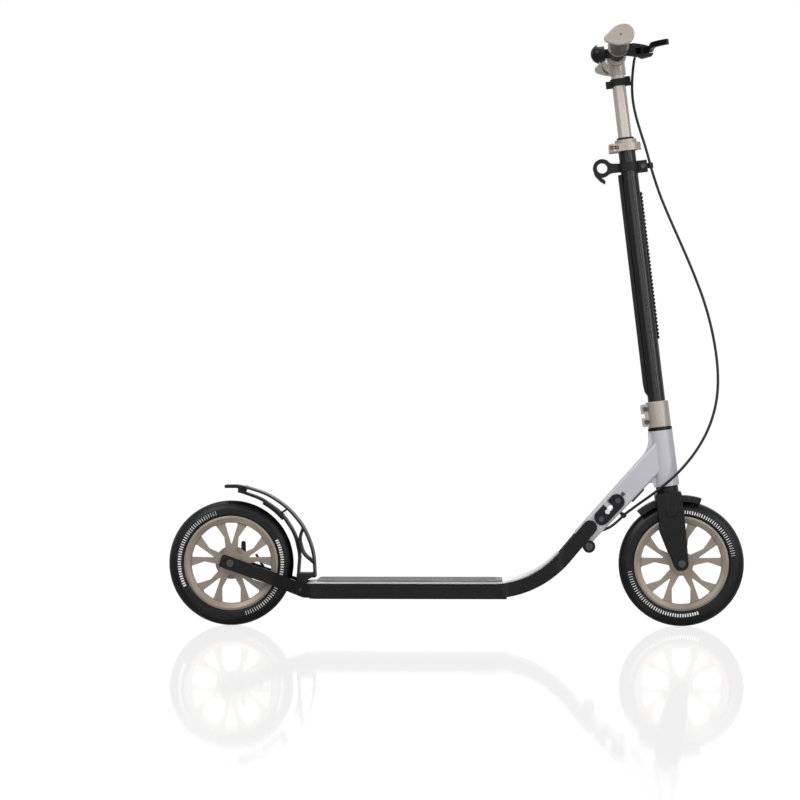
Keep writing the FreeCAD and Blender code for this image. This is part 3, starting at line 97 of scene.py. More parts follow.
class Graph:
    """Short way to place and join the nodes of one tree."""

    def __init__(self, tree: bpy.types.NodeTree) -> None:
        """Starts on an empty tree."""
        self.tree = tree
        self.column = 0

    def add(self, kind: str, values: dict | None = None, **settings: object) -> bpy.types.Node:
        """Places a node.

        Args:
            kind: the node's type name.
            values: input name or number and its value, or the socket it is linked from.
            settings: the node's own properties.

        Returns:
            The new node.
        """
        node = self.tree.nodes.new(kind)
        self.column += 1
        node.location = (self.column * 180.0, 0.0)
        for key, value in settings.items():
            setattr(node, key, value)
        for key, value in (values or {}).items():
            socket = node.inputs[key]
            if isinstance(value, bpy.types.NodeSocket):
                self.tree.links.new(value, socket)
            else:
                socket.default_value = value
        return node

    def math(self, operation: str, first: object, second: object = 0.0,
             third: object = 0.0) -> bpy.types.NodeSocket:
        """Result socket of a Math node."""
        node = self.add("ShaderNodeMath", {0: first, 1: second, 2: third}, operation=operation)
        return node.outputs[0]

    def step(self, value: object, low: float, high: float) -> bpy.types.NodeSocket:
        """Smooth rise of a value from 0 at low to 1 at high."""
        node = self.add("ShaderNodeMapRange", {"Value": value, "From Min": low, "From Max": high},
                        interpolation_type="SMOOTHSTEP")
        return node.outputs[0]

    def mix(self, factor: object, first: object, second: object) -> bpy.types.NodeSocket:
        """Colour mixed from two colours."""
        node = self.add("ShaderNodeMix", {0: factor, 6: first, 7: second}, data_type="RGBA")
        return node.outputs[2]


def new_group(name: str, inputs: Sequence[tuple[str, str, float]],
              outputs: Sequence[tuple[str, str]]) -> Graph:
    """Makes an empty shader group with its sockets.

    Args:
        name: the group's name.
        inputs: name, socket type and default of each input.
        outputs: name and socket type of each output.

    Returns:
        The graph of the group's tree, with "start" and "end" nodes named so.
    """
    tree = bpy.data.node_groups.new(name, "ShaderNodeTree")
    for label, kind, default in inputs:
        socket = tree.interface.new_socket(label, in_out="INPUT", socket_type=kind)
        if kind == "NodeSocketFloat":
            socket.default_value = default
    for label, kind in outputs:
        tree.interface.new_socket(label, in_out="OUTPUT", socket_type=kind)
    graph = Graph(tree)
    graph.start = tree.nodes.new("NodeGroupInput")
    graph.end = tree.nodes.new("NodeGroupOutput")
    return graph


GRAIN_DETAIL = {Grain.PAINT: 1.0, Grain.CAST: 5.0, Grain.BRUSHED: 3.0, Grain.RUBBER: 4.0}
GRAIN_ROUGHNESS = 0.6
SHADE_SCALE = 22.0
SHADE_DETAIL = 4.0
SHADE_RISE = (0.3, 0.7)


@dataclass(frozen=True)
class Wear:
    """How dust and scuffs spread over every finish, with heights in metres."""

    dust_height: tuple[float, float] = (0.03, 0.4)
    dust_scale: float = 60.0
    dust_detail: float = 6.0
    dust_roughness: float = 0.65
    dust_rise: tuple[float, float] = (0.42, 0.75)
    dust_high_up: float = 0.3
    scuff_stretch: Point = (1.0, 3.0, 0.25)
    scuff_scale: float = 420.0
    scuff_detail: float = 2.0
    scuff_rise: tuple[float, float] = (0.66, 0.74)
    scuff_roughens: float = 0.12
    dust_roughens: float = 0.5


WEAR = Wear()


def grain_group(grain: Grain) -> bpy.types.NodeTree:
    """Shared group that makes one kind of surface texture.

    Args:
        grain: which texture.

    Returns:
        A group with inputs Size and Place, and outputs Height and Shade, both 0 to 1.
    """
    name = f"grain_{grain.value}"
    if name in bpy.data.node_groups:
        return bpy.data.node_groups[name]
    graph = new_group(name, [("Size", "NodeSocketFloat", 0.001), ("Place", "NodeSocketVector", 0.0),
                             ("Stretch", "NodeSocketVector", 0.0)],
                      [("Height", "NodeSocketFloat"), ("Shade", "NodeSocketFloat")])
    scale = graph.math("DIVIDE", 1.0, graph.start.outputs["Size"])
    place = graph.start.outputs["Place"]
    place = graph.add("ShaderNodeVectorMath", {0: place, 1: graph.start.outputs["Stretch"]},
                      operation="MULTIPLY").outputs[0]
    if grain is Grain.MOULDED:
        cells = graph.add("ShaderNodeTexVoronoi", {"Vector": place, "Scale": scale, "Randomness": 1.0},
                          feature="SMOOTH_F1")
        height = cells.outputs["Distance"]
    else:
        noise = graph.add("ShaderNodeTexNoise", {
            "Vector": place, "Scale": scale, "Detail": GRAIN_DETAIL[grain], "Roughness": GRAIN_ROUGHNESS})
        height = noise.outputs[0]
    broad = graph.add("ShaderNodeTexNoise", {
        "Vector": graph.start.outputs["Place"], "Scale": SHADE_SCALE, "Detail": SHADE_DETAIL})
    graph.tree.links.new(height, graph.end.inputs["Height"])
    graph.tree.links.new(graph.step(broad.outputs[0], *SHADE_RISE), graph.end.inputs["Shade"])
    return graph.tree


def handling_group() -> bpy.types.NodeTree:
    """Shared group of light use: dust that gathers low down and fine scuffs.

    Returns:
        A group with inputs Place and Amount, and outputs Dust and Scuff, both 0 to 1.
    """
    name = "handling_marks"
    if name in bpy.data.node_groups:
        return bpy.data.node_groups[name]
    graph = new_group(name, [("Place", "NodeSocketVector", 0.0), ("Amount", "NodeSocketFloat", 0.1)],
                      [("Dust", "NodeSocketFloat"), ("Scuff", "NodeSocketFloat")])
    place = graph.start.outputs["Place"]
    parts = graph.add("ShaderNodeSeparateXYZ", {0: place})
    low = graph.math("SUBTRACT", 1.0, graph.step(parts.outputs[2], *WEAR.dust_height))
    cloud = graph.add("ShaderNodeTexNoise", {
        "Vector": place, "Scale": WEAR.dust_scale, "Detail": WEAR.dust_detail,
        "Roughness": WEAR.dust_roughness})
    patch = graph.step(cloud.outputs[0], *WEAR.dust_rise)
    share = graph.math("MULTIPLY_ADD", low, 1.0 - WEAR.dust_high_up, WEAR.dust_high_up)
    dust = graph.math("MULTIPLY", graph.math("MULTIPLY", patch, share), graph.start.outputs["Amount"])
    stretched = graph.add("ShaderNodeVectorMath", {0: place, 1: WEAR.scuff_stretch}, operation="MULTIPLY")
    lines = graph.add("ShaderNodeTexNoise", {
        "Vector": stretched.outputs[0], "Scale": WEAR.scuff_scale, "Detail": WEAR.scuff_detail})
    scuff = graph.math("MULTIPLY", graph.step(lines.outputs[0], *WEAR.scuff_rise), patch)
    graph.tree.links.new(dust, graph.end.inputs["Dust"])
    graph.tree.links.new(scuff, graph.end.inputs["Scuff"])
    return graph.tree


class FinishShop:
    """Makes each finish's material once and puts it on pieces."""

    def __init__(self) -> None:
        """Starts with no materials made."""
        self.made: dict[str, bpy.types.Material] = {}

    def material(self, finish: Finish) -> bpy.types.Material:
        """Material of a finish.

        Args:
            finish: the finish.

        Returns:
            Its material, made the first time it is asked for.
        """
        if finish.name in self.made:
            return self.made[finish.name]
        material = bpy.data.materials.new(finish.name)
        material.use_nodes = True
        material.node_tree.nodes.clear()
        graph = Graph(material.node_tree)
        place = graph.add("ShaderNodeTexCoord").outputs["Object"]
        grain = graph.add("ShaderNodeGroup", node_tree=grain_group(finish.grain))
        grain.inputs["Size"].default_value = finish.grain_size
        grain.inputs["Stretch"].default_value = finish.stretch
        graph.tree.links.new(place, grain.inputs["Place"])
        marks = graph.add("ShaderNodeGroup", node_tree=handling_group())
        marks.inputs["Amount"].default_value = finish.dust
        graph.tree.links.new(place, marks.inputs["Place"])
        darker = tuple(channel * (1.0 - finish.mottle) for channel in finish.colour) + (1.0,)
        lighter = tuple(min(1.0, channel * (1.0 + finish.mottle)) for channel in finish.colour) + (1.0,)
        tone = graph.mix(grain.outputs["Shade"], darker, lighter)
        if finish.band_reach:
            across = graph.math("ABSOLUTE", graph.add("ShaderNodeSeparateXYZ", {0: place}).outputs[1])
            within = graph.math("LESS_THAN", across, finish.band_reach)
            tone = graph.mix(within, tone, finish.band_colour + (1.0,))
        colour = graph.mix(marks.outputs["Dust"], tone, finish.dust_colour + (1.0,))
        rough = graph.math("MULTIPLY_ADD", grain.outputs["Height"], finish.rough_spread,
                           finish.rough - finish.rough_spread / 2)
        rough = graph.math("MULTIPLY_ADD", marks.outputs["Scuff"], WEAR.scuff_roughens, rough)
        rough = graph.math("MULTIPLY_ADD", marks.outputs["Dust"], WEAR.dust_roughens, rough)
        bump = graph.add("ShaderNodeBump", {
            "Height": grain.outputs["Height"], "Distance": finish.bump, "Strength": 1.0})
        shader = graph.add("ShaderNodeBsdfPrincipled", {
            "Base Color": colour, "Roughness": rough, "Normal": bump.outputs[0], "Metallic": finish.metallic,
            "Coat Weight": finish.coat, "Coat Roughness": finish.coat_rough,
            "Specular IOR Level": finish.specular})
        out = graph.add("ShaderNodeOutputMaterial")
        graph.tree.links.new(shader.outputs[0], out.inputs[0])
        self.made[finish.name] = material
        return material

    def dress(self, finish: Finish, *nodes: str) -> None:
        """Gives a finish to carried-over nodes.

        Args:
            finish: the finish.
            nodes: names of the frame's nodes.
        """
        for name in nodes:
            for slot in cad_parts[name].material_slots:
                slot.material = self.material(finish)
        log.info("%s: %s", finish.name, ", ".join(nodes))


SHOP = FinishShop()

SATIN_BLACK = Finish("satin_black_paint", (0.004, 0.004, 0.0045), Grain.PAINT, rough=0.3, coat=0.05,
                     coat_rough=0.22, grain_size=0.0012, bump=0.00002, mottle=0.1, dust=0.008,
                     specular=0.16)
ANODISED_BLACK = Finish("anodised_black_tube", (0.004, 0.004, 0.0048), Grain.BRUSHED, rough=0.24,
                        coat=0.1, grain_size=0.0006, bump=0.00001, dust=0.005, coat_rough=0.16,
                        specular=0.28, stretch=(1.0, 1.0, 0.03))
BLACK_PLASTIC = Finish("black_moulded_plastic", (0.006, 0.006, 0.0065), Grain.MOULDED, rough=0.5,
                       grain_size=0.0007, bump=0.00004, dust=0.02, specular=0.2)
NECK_PAINT = Finish("pale_satin_neck_paint", (0.42, 0.42, 0.455), Grain.PAINT, rough=0.42,
                    metallic=0.15, coat=0.2, grain_size=0.0010, bump=0.00002, mottle=0.03, dust=0.04,
                    coat_rough=0.3)
TITANIUM = Finish("warm_titanium_paint", (0.34, 0.30, 0.265), Grain.CAST, rough=0.38, metallic=0.35,
                  coat=0.1, grain_size=0.0005, bump=0.00002, mottle=0.04, dust=0.03)
RIM_TITANIUM = Finish("warm_titanium_rim", (0.235, 0.195, 0.16), Grain.CAST, rough=0.38, metallic=0.35,
                      grain_size=0.0007, bump=0.00004, mottle=0.1, dust=0.04)
TUBE_TITANIUM = Finish("titanium_sliding_tube", (0.44, 0.40, 0.365), Grain.BRUSHED, rough=0.34,
                       metallic=0.75, grain_size=0.0004, bump=0.000004, mottle=0.03, dust=0.02,
                       stretch=(1.0, 1.0, 0.03))
SILVER_ALLOY = Finish("blasted_silver_alloy", (0.56, 0.56, 0.57), Grain.CAST, rough=0.36, metallic=0.8,
                      grain_size=0.0004, bump=0.00002, mottle=0.04, dust=0.05)
MILL_ALLOY = Finish("mill_finish_alloy", (0.55, 0.55, 0.56), Grain.BRUSHED, rough=0.4, metallic=0.85,
                    grain_size=0.0005, bump=0.00002, mottle=0.05, dust=0.12, stretch=(0.03, 1.0, 1.0))
ZINC_STEEL = Finish("zinc_plated_steel", (0.42, 0.42, 0.43), Grain.CAST, rough=0.34, metallic=0.9,
                    grain_size=0.0004, bump=0.00001, mottle=0.08, dust=0.06)
BLACK_STEEL = Finish("black_oxide_steel", (0.055, 0.055, 0.058), Grain.CAST, rough=0.3, metallic=0.85,
                     grain_size=0.0004, bump=0.00001, mottle=0.1, dust=0.05)
BRONZE = Finish("sintered_bronze", (0.42, 0.28, 0.13), Grain.CAST, rough=0.45, metallic=0.85,
                grain_size=0.0003, bump=0.00002, mottle=0.1)
TYRE_RUBBER = Finish("cast_tyre_rubber", (0.004, 0.0042, 0.0045), Grain.RUBBER, rough=0.36,
                     grain_size=0.0009, bump=0.00003, mottle=0.12, dust=0.01, specular=0.2)
SOFT_RUBBER = Finish("matt_black_rubber", (0.008, 0.008, 0.008), Grain.RUBBER, rough=0.62,
                     grain_size=0.0007, bump=0.00004, mottle=0.1, dust=0.04, specular=0.2)
GRIP_RUBBER = Finish("warm_grey_grip_rubber", (0.075, 0.066, 0.060), Grain.RUBBER, rough=0.6,
                     grain_size=0.0006, bump=0.00004, mottle=0.08, dust=0.03, band_reach=0.1395,
                     band_colour=(0.34, 0.31, 0.28))
MAT_RUBBER = Finish("grey_standing_mat", (0.17, 0.17, 0.172), Grain.RUBBER, rough=0.7,
                    grain_size=0.0005, bump=0.00005, mottle=0.10, dust=0.16, specular=0.3)
CABLE_SHEATH = Finish("smooth_black_sheath", (0.005, 0.005, 0.005), Grain.PAINT, rough=0.32, coat=0.1,
                      grain_size=0.0016, bump=0.00001, mottle=0.08, dust=0.01, specular=0.2)
PRINT_WHITE = Finish("white_sidewall_print", (0.62, 0.60, 0.57), Grain.RUBBER, rough=0.55,
                     grain_size=0.0006, bump=0.00002, mottle=0.08, dust=0.08)
LEVER_INSERT = Finish("copper_brown_insert", (0.16, 0.085, 0.06), Grain.PAINT, rough=0.35, metallic=0.5,
                      grain_size=0.0006, bump=0.00001)


# ------------------------------------------------------------------ geometry tools
class PatternTree:
    """Geometry Nodes tree with named sizes, which ends in real geometry with one material."""

    def __init__(self, name: str, sizes: dict[str, float | Point]) -> None:
        """Makes the tree and its inputs.

        Args:
            name: the tree's name.
            sizes: name and value of each input, a number or a point.
        """
        self.tree = bpy.data.node_groups.new(name, "GeometryNodeTree")
        self.graph = Graph(self.tree)
        self.keys: dict[str, str] = {}
        self.sizes = sizes
        for label, value in sizes.items():
            kind = "NodeSocketVector" if isinstance(value, tuple) else "NodeSocketFloat"
            kind = "NodeSocketInt" if isinstance(value, int) else kind
            socket = self.tree.interface.new_socket(label, in_out="INPUT", socket_type=kind)
            self.keys[label] = socket.identifier
        self.tree.interface.new_socket("Geometry", in_out="OUTPUT", socket_type="NodeSocketGeometry")
        self.start = self.tree.nodes.new("NodeGroupInput")

    def size(self, label: str) -> bpy.types.NodeSocket:
        """Socket of a named input."""
        return self.start.outputs[label]

    def point(self, x: object, y: object, z: object) -> bpy.types.NodeSocket:
        """Vector socket made of three numbers or sockets."""
        return self.graph.add("ShaderNodeCombineXYZ", {0: x, 1: y, 2: z}).outputs[0]

    def vector(self, operation: str, first: object, second: object) -> bpy.types.NodeSocket:
        """Result socket of a Vector Math node."""
        return self.graph.add("ShaderNodeVectorMath", {0: first, 1: second}, operation=operation).outputs[0]

    def scaled(self, way: object, amount: object) -> bpy.types.NodeSocket:
        """Vector socket times a number."""
        return self.graph.add("ShaderNodeVectorMath", {0: way, "Scale": amount}, operation="SCALE").outputs[0]

    def close(self, geometry: bpy.types.NodeSocket, material: bpy.types.Material) -> None:
        """Ends the tree in Realize Instances and Set Material."""
        real = self.graph.add("GeometryNodeRealizeInstances", {0: geometry})
        painted = self.graph.add("GeometryNodeSetMaterial", {0: real.outputs[0], "Material": material})
        end = self.tree.nodes.new("NodeGroupOutput")
        self.tree.links.new(painted.outputs[0], end.inputs[0])

    def harvest(self, material: bpy.types.Material,
                values: dict[str, float | Point] | None = None) -> bpy.types.Mesh:
        """Plain mesh that the tree makes.

        Args:
            material: the finish of the mesh.
            values: inputs that differ from the tree's own sizes.

        Returns:
            The mesh, free of modifiers.
        """
        holder = bpy.data.objects.new(self.tree.name + "_maker", bpy.data.meshes.new(self.tree.name))
        bpy.context.scene.collection.objects.link(holder)
        modifier = holder.modifiers.new("pattern", "NODES")
        modifier.node_group = self.tree
        for label, value in {**self.sizes, **(values or {})}.items():
            modifier[self.keys[label]] = value
        bpy.context.view_layer.update()
        graph = bpy.context.evaluated_depsgraph_get()
        mesh = bpy.data.meshes.new_from_object(holder.evaluated_get(graph))
        holder.modifiers.remove(modifier)
        bpy.data.objects.remove(holder)
        if not mesh.materials:
            mesh.materials.append(material)
        return mesh


def merged_mesh(name: str, meshes: Sequence[bpy.types.Mesh]) -> bpy.types.Mesh:
    """One mesh made of several.

    Args:
        name: the new mesh's name.
        meshes: the meshes, which are then removed.

    Returns:
        The joined mesh.
    """
    corners: list[tuple[float, float, float]] = []
    faces: list[tuple[int, ...]] = []
    material = meshes[0].materials[0]
    for mesh in meshes:
        offset = len(corners)
        corners.extend(tuple(vertex.co) for vertex in mesh.vertices)
        faces.extend(tuple(index + offset for index in face.vertices) for face in mesh.polygons)
        bpy.data.meshes.remove(mesh)
    joined = bpy.data.meshes.new(name)
    joined.from_pydata(corners, [], faces)
    joined.materials.append(material)
    joined.update()
    return joined


def place_piece(name: str, mesh: bpy.types.Mesh, smooth: bool = True) -> bpy.types.Object:
    """Puts a finished mesh in the scene.

    Args:
        name: the piece's name.
        mesh: its mesh, already in place.
        smooth: whether its faces shade smoothly.

    Returns:
        The new object, unturned at the origin.
    """
    piece = bpy.data.objects.new(name, mesh)
    bpy.context.scene.collection.objects.link(piece)
    mesh.polygons.foreach_set("use_smooth", [smooth] * len(mesh.polygons))
    log.info("piece %s: %d faces", name, len(mesh.polygons))
    return piece


def middle_of(node: str) -> Vector:
    """Middle of a node's box."""
    low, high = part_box(node)
    return (low + high) / 2


# ------------------------------------------------------------------ brake cable
@dataclass
class CableSpan:
    """One span of the brake cable's sheath between two places that hold it."""

    name: str
    node: str
    body: str
    route: Sequence[Point]
    length: float
    lay: str
    bends_with: tuple[str, str] | None = None
    diameter: float = 0.005
    sides: int = 16

    def centreline(self) -> list[Vector]:
        """Points along the span's smooth line.

        Returns:
            The points, in order from its start.
        """
        line = bpy.data.curves.new(self.name + "_line", "CURVE")
        line.dimensions = "3D"
        line.resolution_u = 10
        spline = line.splines.new("NURBS")
        spline.points.add(len(self.route) - 1)
        for point, place in zip(spline.points, self.route):
            point.co = (*place, 1.0)
        spline.order_u = 3
        spline.use_endpoint_u = True
        holder = bpy.data.objects.new(self.name + "_line", line)
        bpy.context.scene.collection.objects.link(holder)
        graph = bpy.context.evaluated_depsgraph_get()
        mesh = bpy.data.meshes.new_from_object(holder.evaluated_get(graph))
        points = [vertex.co.copy() for vertex in mesh.vertices]
        bpy.data.objects.remove(holder)
        bpy.data.meshes.remove(mesh)
        bpy.data.curves.remove(line)
        return points

    def tube(self, points: Sequence[Vector]) -> bpy.types.Mesh:
        """Round tube along points, closed at both ends.

        Args:
            points: the line that it follows.

        Returns:
            The tube's mesh.
        """
        radius = self.diameter / 2
        corners: list[Vector] = []
        side = Vector((0.0, 1.0, 0.0))
        for index, place in enumerate(points):
            before = points[max(index - 1, 0)]
            after = points[min(index + 1, len(points) - 1)]
            way = (after - before).normalized()
            side = (side - way * side.dot(way)).normalized()
            across = way.cross(side)
            for step in range(self.sides):
                turn = 2 * math.pi * step / self.sides
                corners.append(place + (side * math.cos(turn) + across * math.sin(turn)) * radius)
        faces: list[tuple[int, ...]] = []
        for ring in range(len(points) - 1):
            for step in range(self.sides):
                first = ring * self.sides + step
                second = ring * self.sides + (step + 1) % self.sides
                faces.append((first, second, second + self.sides, first + self.sides))
        last = (len(points) - 1) * self.sides
        faces.append(tuple(range(self.sides))[::-1])
        faces.append(tuple(last + step for step in range(self.sides)))
        mesh = bpy.data.meshes.new(self.name)
        mesh.from_pydata([tuple(corner) for corner in corners], [], faces)
        mesh.materials.append(SHOP.material(CABLE_SHEATH))
        mesh.update()
        return mesh

    def build(self) -> bpy.types.Object:
        """Returns:
            The span's piece.
        """
        points = self.centreline()
        piece = place_piece(self.name, self.tube(points))
        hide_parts(self.node)
        if self.bends_with:
            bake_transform(piece)
        else:
            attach(piece, self.body)
        return piece


@dataclass
class BrakeCable:
    """Brake cable from the lever to the rear drum, in the four spans that its clips make."""

    upper: Sequence[Point] = (
        (0.3281, -0.0714, 1.0433), (0.3266, -0.052, 1.0386), (0.325, -0.035, 1.022),
        (0.3235, -0.021, 0.996), (0.3255, -0.010, 0.966), (0.332, -0.005, 0.937),
        (0.341, -0.0015, 0.908), (0.351, 0.0, 0.878), (0.3586, 0.0, 0.8492))
    bow: Sequence[Point] = (
        (0.3587, 0.0, 0.8484), (0.371, -0.001, 0.806), (0.393, -0.004, 0.752), (0.416, -0.008, 0.700),
        (0.439, -0.013, 0.645), (0.459, -0.018, 0.590), (0.473, -0.023, 0.533), (0.481, -0.028, 0.475),
        (0.480, -0.032, 0.420), (0.466, -0.036, 0.368), (0.441, -0.038, 0.322), (0.406, -0.036, 0.280),
        (0.364, -0.029, 0.245), (0.333, -0.020, 0.223), (0.3104, -0.015, 0.2057))
    lower: Sequence[Point] = (
        (0.3085, -0.015, 0.2037), (0.2925, -0.0145, 0.1874), (0.2752, -0.013, 0.1777),
        (0.2569, -0.0115, 0.1728), (0.2391, -0.0105, 0.1663), (0.2232, -0.010, 0.1552),
        (0.2042, -0.010, 0.1336))
    under_deck: Sequence[Point] = (
        (0.2040, -0.010, 0.1334), (0.186, -0.010, 0.1115), (0.163, -0.010, 0.089), (0.120, -0.011, 0.071),
        (0.068, -0.011, 0.066), (0.010, -0.011, 0.066), (-0.048, -0.010, 0.065), (-0.106, -0.009, 0.066),
        (-0.164, -0.006, 0.066), (-0.218, 0.003, 0.064), (-0.252, 0.012, 0.0605), (-0.278, 0.0175, 0.0578),
        (-0.306, 0.0205, 0.061), (-0.332, 0.0208, 0.074), (-0.356, 0.021, 0.102), (-0.371, 0.021, 0.130))

    def build(self) -> list[bpy.types.Object]:
        """Makes the four spans.

        Returns:
            Their pieces.
        """
        spans = [
            CableSpan("brake_cable_top", "brake_cable_upper", "handlebar", self.upper, 0.226, "taut",
                      ("handlebar", "column")),
            CableSpan("brake_cable_loop", "brake_cable_bow", "column", self.bow, 0.735, "loose",
                      ("column", "neck")),
            CableSpan("brake_cable_hinge", "brake_cable_lower", "neck", self.lower, 0.128, "taut",
                      ("neck", "deck")),
            CableSpan("brake_cable_rear", "brake_cable_deck", "deck", self.under_deck, 0.632, "taut"),
        ]
        return [span.build() for span in spans]


# ------------------------------------------------------------------ wheels
@dataclass
class SidewallPrint:
    """Ring of short white bars printed on both sides of a tyre, in two arcs that thin out."""

    bar_count: int = 37
    inner_radius: float = 92.2 * MM
    long_bar: float = 7.6 * MM
    short_bar: float = 5.6 * MM
    wide_bar: float = 2.6 * MM
    thin_bar: float = 0.7 * MM
    sweep: float = math.radians(-99.0)
    proud: float = 0.12 * MM
    usual_face: float = 14.5 * MM

    def tree(self) -> PatternTree:
        """Geometry Nodes tree of one arc of bars on one side."""
        made = PatternTree("sidewall_bars", {
            "Axle": (0.0, 0.0, 0.0), "Bars": self.bar_count, "Inner Radius": self.inner_radius,
            "Start Angle": 0.0, "Sweep": self.sweep, "Face": self.usual_face, "Thickness": self.proud * 2,
            "Wide Bar": self.wide_bar, "Thin Bar": self.thin_bar, "Short Bar": self.short_bar,
            "Long Bar": self.long_bar})
        graph = made.graph
        index = graph.add("GeometryNodeInputIndex").outputs[0]
        share = graph.math("DIVIDE", index, graph.math("SUBTRACT", made.size("Bars"), 1.0))
        turn = graph.math("MULTIPLY_ADD", share, made.size("Sweep"), made.size("Start Angle"))
        reach = graph.math("ADD", made.size("Short Bar"), graph.math(
            "MULTIPLY", share, graph.math("SUBTRACT", made.size("Long Bar"), made.size("Short Bar"))))
        width = graph.math("ADD", made.size("Wide Bar"), graph.math(
            "MULTIPLY", share, graph.math("SUBTRACT", made.size("Thin Bar"), made.size("Wide Bar"))))
        radius = graph.math("MULTIPLY_ADD", reach, 0.5, made.size("Inner Radius"))
        out = made.point(graph.math("COSINE", turn), 0.0, graph.math("SINE", turn))
        spot = made.vector("ADD", made.vector("ADD", made.scaled(out, radius), made.size("Axle")),
                           made.point(0.0, made.size("Face"), 0.0))
        dots = graph.add("GeometryNodePoints", {"Count": made.size("Bars"), "Position": spot})
        bar = graph.add("GeometryNodeMeshCube", {"Size": (1.0, 1.0, 1.0)})
        placed = graph.add("GeometryNodeInstanceOnPoints", {
            "Points": dots.outputs[0], "Instance": bar.outputs[0],
            "Rotation": made.point(0.0, graph.math("MULTIPLY", turn, -1.0), 0.0),
            "Scale": made.point(reach, made.size("Thickness"), width)})
        made.close(placed.outputs[0], SHOP.material(PRINT_WHITE))
        return made

    def build(self, name: str, tyre: str, body: str, first_turn: float) -> bpy.types.Object:
        """Prints the bars on both sides of one tyre.

        Args:
            name: the piece's name.
            tyre: the tyre's node.
            body: the body that the wheel rides on.
            first_turn: angle of the first arc's widest bar, in degrees.

        Returns:
            The piece.
        """
        low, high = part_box(tyre)
        axle = middle_of(tyre)
        tree = self.tree()
        arcs = []
        for face in (low.y - axle.y, high.y - axle.y):
            for half_turn in (0.0, 180.0):
                arcs.append(tree.harvest(SHOP.material(PRINT_WHITE), {
                    "Axle": tuple(axle), "Face": face, "Start Angle": math.radians(first_turn + half_turn)}))
        piece = place_piece(name, merged_mesh(name, arcs), smooth=False)
        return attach(piece, body)


@dataclass
class TreadGrooves:
    """Fine mould rings round the tread of a tyre."""

    ring_count: int = 3
    pitch: float = 4.2 * MM
    proud: float = 0.25 * MM
    thickness: float = 0.5 * MM
    round_steps: int = 160
    section_steps: int = 6

    def build(self, name: str, tyre: str, body: str) -> bpy.types.Object:
        """Makes the rings of one tyre.

        Args:
            name: the piece's name.
            tyre: the tyre's node.
            body: the body that the wheel rides on.

        Returns:
            The piece.
        """
        low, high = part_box(tyre)
        axle = middle_of(tyre)
        radius = (high.x - low.x) / 2
        made = PatternTree("tread_rings", {
            "Axle": tuple(axle), "Rings": self.ring_count, "Pitch": self.pitch,
            "Radius": radius - self.thickness / 2 + self.proud / 4, "Thickness": self.thickness})
        graph = made.graph
        circle = graph.add("GeometryNodeCurvePrimitiveCircle", {
            "Resolution": self.round_steps, "Radius": made.size("Radius")})
        section = graph.add("GeometryNodeCurvePrimitiveCircle", {
            "Resolution": self.section_steps, "Radius": graph.math("MULTIPLY", made.size("Thickness"), 0.5)})
        ring = graph.add("GeometryNodeCurveToMesh", {
            "Curve": circle.outputs[0], "Profile Curve": section.outputs[0]})
        index = graph.add("GeometryNodeInputIndex").outputs[0]
        centre = graph.math("MULTIPLY", graph.math("SUBTRACT", made.size("Rings"), 1.0), 0.5)
        across = graph.math("MULTIPLY", graph.math("SUBTRACT", index, centre), made.size("Pitch"))
        spot = made.vector("ADD", made.size("Axle"), made.point(0.0, across, 0.0))
        dots = graph.add("GeometryNodePoints", {"Count": made.size("Rings"), "Position": spot})
        placed = graph.add("GeometryNodeInstanceOnPoints", {
            "Points": dots.outputs[0], "Instance": ring.outputs[0], "Rotation": (math.pi / 2, 0.0, 0.0)})
        made.close(placed.outputs[0], SHOP.material(TYRE_RUBBER))
        piece = place_piece(name, made.harvest(SHOP.material(TYRE_RUBBER)))
        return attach(piece, body)


@dataclass
class FrontWheel:
    """Front wheel: tyre, rim and bearings."""

    first_turn: float = 108.0

    def build(self) -> None:
        """Dresses the wheel and adds its sidewall print."""
        SHOP.dress(TYRE_RUBBER, "front_tyre")
        SHOP.dress(RIM_TITANIUM, "front_rim")
        SHOP.dress(ZINC_STEEL, "front_bearings")
        SidewallPrint().build("front_tyre_print", "front_tyre", "front_wheel", self.first_turn)
        TreadGrooves().build("front_tread_rings", "front_tyre", "front_wheel")


@dataclass
class RearWheel:
    """Rear wheel: tyre, rim, bearings and brake drum."""

    first_turn: float = 26.0

    def build(self) -> None:
        """Dresses the wheel and adds its sidewall print."""
        SHOP.dress(TYRE_RUBBER, "rear_tyre")
        SHOP.dress(RIM_TITANIUM, "rear_rim")
        SHOP.dress(ZINC_STEEL, "rear_bearings")
        SHOP.dress(RIM_TITANIUM, "brake_drum")
        SidewallPrint().build("rear_tyre_print", "rear_tyre", "rear_wheel", self.first_turn)
        TreadGrooves().build("rear_tread_rings", "rear_tyre", "rear_wheel")


